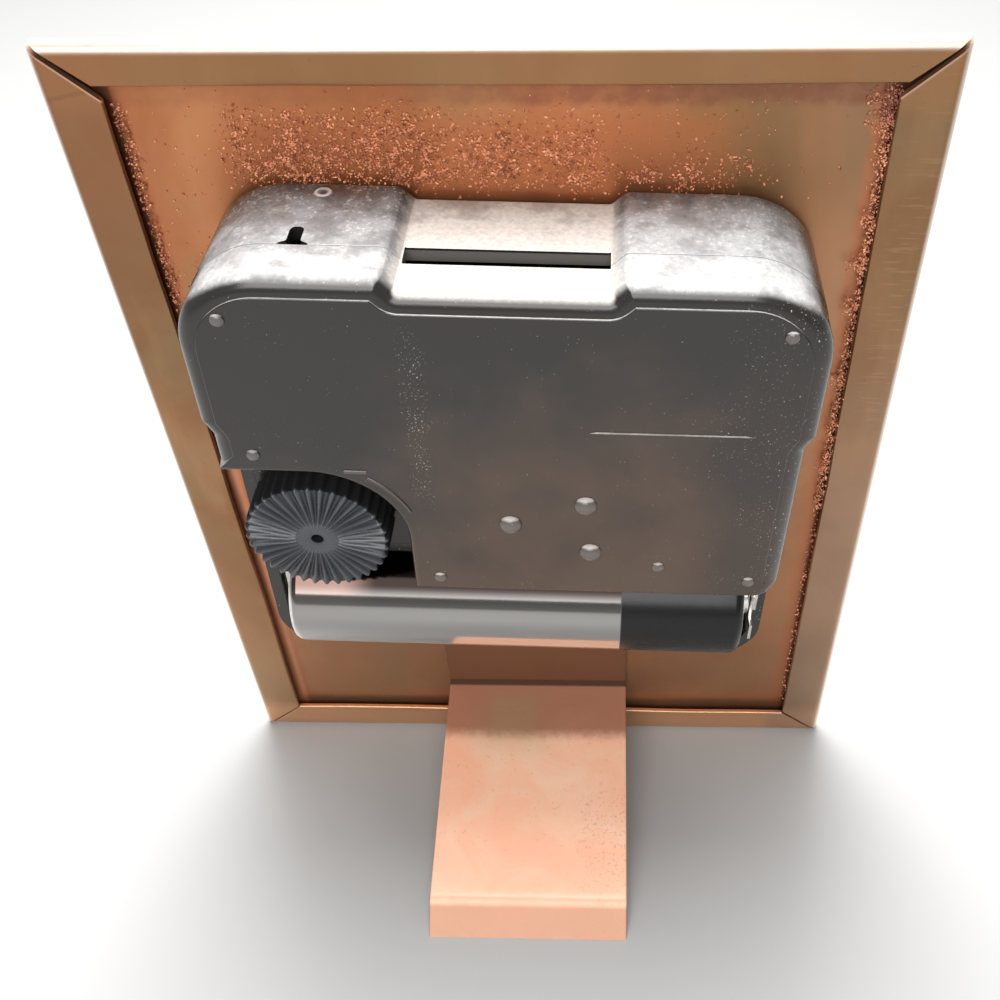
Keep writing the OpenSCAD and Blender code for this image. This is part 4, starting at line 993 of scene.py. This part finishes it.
def front_case():
    corners = case_corners()
    steps = [(Y_CASE + FRONT_EASE * (1 - math.sin(t)), FRONT_EASE * (1 - math.cos(t)))
             for t in np.radians(np.linspace(90, 0, 6))]
    steps += [(Y_PART - 0.1, 0), (Y_PART, 0.03), (Y_PART, WALL), (Y_FLOOR, WALL)]
    rings = [at_depth(rounded_loop(corners, d), y) for y, d in steps]
    case = lofted("front_case", rings, MOVEMENT)
    side = BAY_HALF + WALL / 2
    adds = [
        block("wall", (-side, Y_FLOOR - 0.1, BAY_TOP),
              (side, Y_PART - 0.02, BAY_TOP + BAY_WALL), MOVEMENT),
        block("roof", (KNOB[0] - CUT_R - WALL, Y_PART - ROOF_T, BAY_TOP + BAY_WALL / 2),
              (side, Y_PART - 0.03, KNOB[1] + CUT_R + WALL), MOVEMENT),
    ]
    for x in (-RIB_X, RIB_X):
        adds.append(block("rib", (x - RIB_T / 2, Y_FLOOR - 0.1, -CASE_BOTTOM + WALL / 2),
                          (x + RIB_T / 2, CELL_Y, CELL_Z - CELL_R - 0.1), MOVEMENT))
    combine(case, adds + [pin_mark()], "UNION")
    cuts = [
        rod("bore", SHAFT, BUSH_BORE, Y_CASE - 1, Y_FLOOR + 1, MOVEMENT, 64),
        rod("bore", KNOB, KNOB_BORE, Y_PART - 2, Y_PART + 1, MOVEMENT),
        upright("window", window_corners(), CASE_TOP - 2 * WALL, CASE_TOP + 1),
        block("slot", (-NOTCH_W / 2, Y_PART - SLOT_AHEAD, CASE_TOP - NOTCH_D - 1.5 * WALL),
              (NOTCH_W / 2, Y_PART + 1, CASE_TOP + 1), MOVEMENT),
    ]
    for x in (-BAY_HALF - 0.05, BAY_HALF + 0.05 - CONTACT_SLOT_W):
        cuts.append(block("slot", (x, CONTACT_SLOT_Y[0], BAY_TOP - 1),
                          (x + CONTACT_SLOT_W, CONTACT_SLOT_Y[1], BAY_TOP + BAY_WALL + 1), MOVEMENT))
    return combine(case, cuts, "DIFFERENCE")


def upright(name, corners, z0, z1):
    """Upright solid over an outline in X and Y of the case."""
    loop = rounded_loop(corners)
    return lofted(name, [np.column_stack((loop, np.full(len(loop), z))) for z in (z0, z1)], MOVEMENT)


def window_corners():
    """Outline of the snap window: round ahead, flared at the parting line."""
    half = WINDOW_W / 2
    foot = WINDOW_FOOT / 2
    side = [(half, Y_PART - WINDOW_LEN, half - 0.05), (half, Y_PART - 0.5, 0.3),
            (foot, Y_PART - 0.1, 0.05), (foot, Y_PART + 1, 0.05)]
    other = [(-x, y, r) for x, y, r in side[::-1]]
    return [(WINDOW_X + x, y, r) for x, y, r in side + other]


def pin_mark():
    """Low ring that an ejector pin leaves on the top of the case."""
    section = [(0.4, -0.2), (0.8, -0.2), (0.8, 0.03), (0.7, 0.1), (0.5, 0.1), (0.4, 0.03)]
    return hoop("pin", section, MOVEMENT @ Matrix.Translation((*PIN, CASE_TOP)), 32)


def cover_corners():
    """Corners of the rear cover as (x, z, radius, rounding of the back edge that ends there)."""
    outer = COVER_ROUND
    corners = [(*c, outer) for c in case_corners()[1:-1]]
    shelf = KNOB[1] + CUT_R
    corners.insert(0, (HALF_W - JOG, shelf, 0.3, 0.35))
    corners += [(JOG - HALF_W, -COVER_BOTTOM, 2.5, outer), (KNOB[0] - CUT_R, -COVER_BOTTOM, 0.3, 0.45),
                (KNOB[0] - CUT_R, shelf, CUT_R, 0.45)]
    return corners


def edge_rounding(corners):
    """Rounding of the back edge at each point of the outline, blended across the corners."""
    rounding = []
    for i, corner in enumerate(corners):
        after = corners[(i + 1) % len(corners)]
        rounding.append(np.linspace(corner[3], after[3], arc_steps(corner) + 1))
    return np.concatenate(rounding)


def rear_cover():
    corners = cover_corners()
    rounding = edge_rounding(corners)
    levels = np.linspace(0, 2.4, 25)
    loops = np.array([rounded_loop(corners, d) for d in levels])

    def inset_by(d):
        """Outline with each point moved in by its own distance."""
        spot = np.clip(d / levels[1], 0, len(levels) - 1.001)
        low = spot.astype(int)
        part = (spot - low)[:, None]
        pick = np.arange(loops.shape[1])
        return loops[low, pick] * (1 - part) + loops[low + 1, pick] * part

    step = np.where(rounding > 1, COVER_STEP, COVER_STEP * rounding / 2)
    inside = at_depth(rounded_loop(corners, WALL), Y_PART)
    roof = at_depth(rounded_loop(corners, WALL), Y_INNER)
    rings = [roof, inside, at_depth(inset_by(step + 0.02), Y_PART),
             at_depth(inset_by(step), Y_PART + 0.1)]
    rim = np.where(rounding > 1, RIM_STEP, 0.02)
    for t in np.radians(np.linspace(0, 90, 11)):
        drop = rim + rounding * (1 - math.sin(t))
        rings.append(at_depth(inset_by(step + rounding * (1 - math.cos(t))), Y_BACK - drop))
    rings.append(at_depth(inset_by(step + rounding + 0.03), Y_BACK - 0.3 * rim))
    rings.append(at_depth(inset_by(step + rounding + 0.1), Y_BACK))
    cover = lofted("rear_cover", rings, MOVEMENT)
    combine(cover, cover_marks(), "UNION")
    slot = block("slot", (-NOTCH_W / 2, Y_PART - 1, CASE_TOP - NOTCH_D - 2 * WALL),
                 (NOTCH_W / 2, Y_PART + SLOT_BEHIND, CASE_TOP + 1), MOVEMENT)
    return combine(cover, [slot, sunk_panel()], "DIFFERENCE")


def sunk_panel():
    """Cutter for the shallow panel on the back: deepest at its lower edge, sloped at its sides."""
    x0, z0 = PANEL_LOW
    x1, z1 = PANEL_HIGH
    foot = rectangle(x0 + PANEL_SLOPE, z0 + 0.05, x1 - PANEL_SLOPE, z1 + 0.05, PANEL_R)
    bottom = rounded_loop(foot)
    sunk = PANEL_DEPTH * (z1 - bottom[:, 1]) / (z1 - z0) - PANEL_RISE
    top = rounded_loop(rectangle(x0, z0, x1, z1, PANEL_R))
    return lofted("panel", [at_depth(bottom, Y_BACK - sunk), at_depth(top, Y_BACK + PANEL_RISE),
                            at_depth(top, Y_BACK + 1)], MOVEMENT)


def cover_marks():
    """Pivot bumps, moulded dots and the turning mark beside the knob, all on the back."""
    group = repeat_group("domes", ball)
    dots = [(HALF_W - 4.4, CASE_TOP - 4.2), (4.2 - HALF_W, CASE_TOP - 4.4),
            (HALF_W - 4.6, KNOB[1] + CUT_R + 2.2), (KNOB[0] - CUT_R - 2.7, 1.95 - COVER_BOTTOM),
            (4.2 - HALF_W, 2.55 - COVER_BOTTOM), (-14.6, 4.45 - COVER_BOTTOM)]
    marks = []
    for spots, r, h in (((SHAFT, IDLER, ROTOR), BUMP_R, BUMP_H), (dots, DOT_R, DOT_H)):
        spots = at_depth(np.array(spots), Y_BACK)
        marks.append(repeated("domes", group, spots, MOVEMENT, [0] * len(spots), (2 * r, 2 * h, 2 * r)))
    swing = np.radians(np.linspace(*ARC_SPAN, 17))
    way = np.column_stack((np.cos(swing), np.sin(swing)))
    arc = np.concatenate((KNOB + ARC_R[1] * way, (KNOB + ARC_R[0] * way)[::-1]))
    marks.append(prism("arc", arc, Y_BACK - 0.1, Y_BACK + ARC_H, MOVEMENT))
    bar = np.array(rectangle(*BAR_LOW, *BAR_HIGH))
    marks.append(prism("bar", bar, Y_BACK - 0.1, Y_BACK + BAR_H, MOVEMENT))
    return marks


# Setting knob
def setting_knob():
    """Knob with radial ribs on its face that run over the rim into the flutes of its side."""
    per_rib = 10
    count = KNOB_RIBS * per_rib
    turns = round_angles(count)
    wave = 0.5 + 0.5 * np.cos(turns * KNOB_RIBS)
    ridge = wave ** 1.3
    ease = KNOB_EASE
    rings = []

    def ring(r, y, flute, rib):
        radius = r - flute * (1 - ridge)
        depth = y - rib * (1 - ridge)
        rings.append(np.column_stack((radius * np.cos(turns), depth, radius * np.sin(turns))))

    ring(2.0, KNOB_UNDER, 0, 0)
    ring(KNOB_R - 0.5, KNOB_UNDER, 0, 0)
    ring(KNOB_R, KNOB_UNDER + 0.4, FLUTE, 0)
    for y in np.linspace(KNOB_UNDER + 0.8, KNOB_FACE - ease, 5):
        ring(KNOB_R, y, FLUTE, 0)
    for t in np.radians(np.linspace(15, 90, 6)):
        ring(KNOB_R - ease + ease * math.cos(t), KNOB_FACE - ease + ease * math.sin(t),
             FLUTE * math.cos(t), RIB * math.sin(t))
    for r in (6.0, 5.2, 4.4, 3.6, 2.9):
        ring(r, KNOB_FACE, 0, RIB * min(1, r / 4.6))
    ring(2.3, KNOB_FACE - 0.02, 0, 0.22)
    ring(1.95, KNOB_FACE - 0.1, 0, 0.02)
    ring(1.0, KNOB_FACE - 0.14, 0, 0)
    ring(0.62, KNOB_FACE - 0.2, 0, 0)
    ring(0.55, KNOB_FACE - 1.6, 0, 0)
    place = MOVEMENT @ Matrix.Translation((KNOB[0], 0, KNOB[1]))
    return lofted("setting_knob", rings, place)


# Cell
def cell_frame():
    low_end = Matrix.Translation((CELL_LOW, CELL_Y, CELL_Z))
    return MOVEMENT @ low_end @ Matrix.Rotation(math.pi / 2, 4, "Y")


def arc_profile(centre, r, start, end, steps=6):
    angles = np.radians(np.linspace(start, end, steps))
    return [(centre[0] + r * math.cos(a), centre[1] + r * math.sin(a)) for a in angles]


def cell_can():
    can_r = CELL_R - SLEEVE_T
    profile = [(0, -NUB_LEN), (NUB_R - 0.5, -NUB_LEN)]
    profile += arc_profile((NUB_R - NUB_EDGE, NUB_EDGE - NUB_LEN), NUB_EDGE, -90, 0)
    profile += [(NUB_R, -0.25), (NUB_R + 0.25, 0)]
    profile += arc_profile((can_r - CAN_EDGE, CAN_EDGE), CAN_EDGE, -90, 0)
    profile += arc_profile((can_r - FOOT_EDGE, CELL_LEN - FOOT_EDGE), FOOT_EDGE, 0, 90)
    profile += [(END_R + 0.05, CELL_LEN), (END_R, CELL_LEN - END_SUNK), (0, CELL_LEN - END_SUNK)]
    return turned("cell_can", profile, cell_frame(), CELL_STEPS)


def cell_sleeve():
    """Thin sleeve, closed on itself round the can and shrunk over its edges."""
    can_r = CELL_R - SLEEVE_T
    shrunk = [(can_r - 0.5, 0.4), (can_r - 0.35, 0.1), (CELL_R - 0.25, 0.3), (CELL_R - 0.05, 0.65)]
    profile = shrunk + [(CELL_R, 1.0)]
    profile += [(CELL_R, h) for h in np.linspace(3, CELL_LEN - 3, 12)]
    profile += [(r, CELL_LEN - h) for r, h in profile[4::-1]]
    profile += [(can_r - 0.6, CELL_LEN - 2), (can_r - 0.6, 2)]
    return hoop("cell_sleeve", profile, cell_frame(), CELL_STEPS)


# Filings
def filings_group(material):
    """One rough crumb on every point, turned and sized at random."""
    group = NodeGroup("filings", smallest="Float", largest="Float", seed="Int")
    seed = group.input("seed")
    crumb = group.add("GeometryNodeMeshIcoSphere", {"Radius": 0.5, "Subdivisions": 1})
    full = 2 * math.pi
    turn = group.add("FunctionNodeRandomValue", {"Max": (full, full, full), "Seed": seed},
                     data_type="FLOAT_VECTOR")
    shape = group.add("FunctionNodeRandomValue",
                      {"Min": (0.45, 0.5, 0.7), "Max": (0.9, 1.1, 1.5), "Seed": seed},
                      data_type="FLOAT_VECTOR")
    size = group.add("FunctionNodeRandomValue", {2: group.input("smallest"), 3: group.input("largest"),
                                                 "Seed": seed}, 1, data_type="FLOAT")
    scale = group.add("ShaderNodeVectorMath", {0: shape, "Scale": size}, operation="SCALE")
    return group.strewn(crumb, turn, scale, material)


def filings_spots():
    """Where the filings lie on the panel: a dense drift along the top and lines beside the hems."""
    rng = np.random.default_rng(11)
    spots = []

    def strew(count, x_range, z_range, pile=0.02):
        x = rng.uniform(*x_range, count)
        z = rng.uniform(*z_range, count)
        spots.append(np.column_stack((x, rng.uniform(0.02, pile, count), z)))

    def cluster(count, x_range, z_range, spread):
        for _ in range(count):
            middle = (rng.uniform(*x_range), rng.uniform(*z_range))
            size = rng.integers(8, 30)
            crumbs = rng.normal(middle, spread * rng.uniform(0.3, 1.2), (size, 2))
            spots.append(np.column_stack((crumbs[:, 0], rng.uniform(0, 0.15, size), crumbs[:, 1])))

    strew(1300, (-9, 25), (85.2, 93.0))
    cluster(130, (6, 24), (86, 92.3), 0.8)
    cluster(80, (-8, 7), (85.4, 90.5), 0.9)
    cluster(24, (-22, -8), (85.2, 88.0), 0.7)
    strew(150, (-24, -8), (85.5, 93.5))
    strew(160, (-33, 33), (84, 95))
    strew(120, (26, 33), (60, 94))
    # lines beside the hems
    strew(420, (32.5, 33.3), (70, 93.5), 0.5)
    strew(110, (31.9, 33.3), (50, 93))
    strew(1300, (-33.7, -32.7), (44, 92.5), 1.2)
    strew(160, (-33.6, -32.9), (6, 46), 0.5)
    for x, z, crumbs in ((-32.7, 77.4, 70), (-32.6, 72.6, 60), (-32.8, 63.4, 70), (-33.0, 88.5, 50),
                         (-32.9, 82.0, 50), (-33.0, 57.0, 50), (-33.0, 51.0, 40)):
        clump = rng.normal((x, z), (0.45, 0.55), (crumbs, 2))
        spots.append(np.column_stack((clump[:, 0], rng.uniform(0, 1.2, crumbs), clump[:, 1])))
    # dark drift in the corner at -X
    strew(220, (-33.7, -32.4), (91.5, 95.2), 0.9)
    cluster(9, (-33.2, -31.6), (90.5, 94.6), 0.5)
    return np.concatenate(spots)


def filings(material):
    piece = mesh_object("filings", filings_spots(), [], PLATE)
    return filings_group(material).applied_to(piece, smallest=0.06 * MM, largest=0.34 * MM, seed=7)


# Stage
def camera():
    """Camera at the photograph's viewing angle, behind the clock and above it."""
    data = bpy.data.cameras.new("camera")
    data.lens = LENS
    data.sensor_width = SENSOR
    data.shift_x, data.shift_y = SHIFT
    data.clip_start = 0.01
    eye = bpy.data.objects.new("camera", data)
    eye.location = np.array(EYE) * MM
    eye.rotation_euler = [math.radians(a) for a in EYE_TURN]
    bpy.context.scene.collection.objects.link(eye)
    bpy.context.scene.camera = eye


def area_light(name, at, look, size, power):
    data = bpy.data.lights.new(name, "AREA")
    data.shape = "RECTANGLE"
    data.size, data.size_y = size
    data.energy = power
    lamp = bpy.data.objects.new(name, data)
    lamp.visible_camera = False
    lamp.location = at
    lamp.rotation_euler = (Vector(at) - Vector(look)).to_track_quat("Z", "Y").to_euler()
    bpy.context.scene.collection.objects.link(lamp)


def studio():
    """Pale floor, painted paler far off where the lamps' light falls off, soft light from above and a
    weak fill.
    """
    paper = Finish("floor", FLOOR_NEAR, 0.8)
    x, y, _ = paper.axes(paper.place(Matrix.Identity(4)))
    # painted light: the floor gets paler far from the clock, where the lamps' light falls off
    paper.stain(paper.ramp((x * x + y * y) ** 0.5, 300, 2500), FLOOR_FAR)
    corners = rectangle(-FLOOR_HALF, -FLOOR_HALF, FLOOR_HALF, FLOOR_HALF, 0)
    floor = mesh_object("floor", corners, [(0, 1, 2, 3)], Matrix.Identity(4))
    floor.data.materials.append(paper.material)
    world = bpy.data.worlds.new("studio")
    world.use_nodes = True
    sky = world.node_tree.nodes["Background"].inputs
    sky["Color"].default_value = (0.63, 0.62, 0.6, 1)
    sky["Strength"].default_value = 0.6
    bpy.context.scene.world = world
    for lamp in LAMPS:
        area_light(**lamp)
    bpy.context.scene.view_settings.view_transform = "Standard"


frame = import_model()
camera()
studio()

copper = copper_finish()
finished(copper_plate(), copper, "copper", "clock", "copper_body")
finished(stand_leg(), leg_finish(), "leg_copper", "clock", "stand_leg")
front_plastic = case_finish("front case plastic", 0.95, 0.3)
finished(front_case(), front_plastic, "case_plastic", "clock", "front_case")
cover_plastic = case_finish("rear cover plastic", 1.0, 0.9)
finished(rear_cover(), cover_plastic, "cover_plastic", "clock", "rear_cover")
finished(setting_knob(), knob_finish(), "knob_plastic", "setting", "setting_knob", sharp=60)
plain = plain_finishes()
finished(cell_can(), plain["cell_metal"], "cell_metal", "battery", "battery_can")
finished(cell_sleeve(), sleeve_finish(), "cell_sleeve", "battery", "battery_sleeve")
crumbs = filings_finish()
finished(filings(crumbs), crumbs, "copper", "clock")

for part in frame["record"]["subparts"]:
    material = plain.get(part["material_slot"])
    if material:
        piece = frame["nodes"][part["node"]]
        piece.data.materials.clear()
        piece.data.materials.append(material)
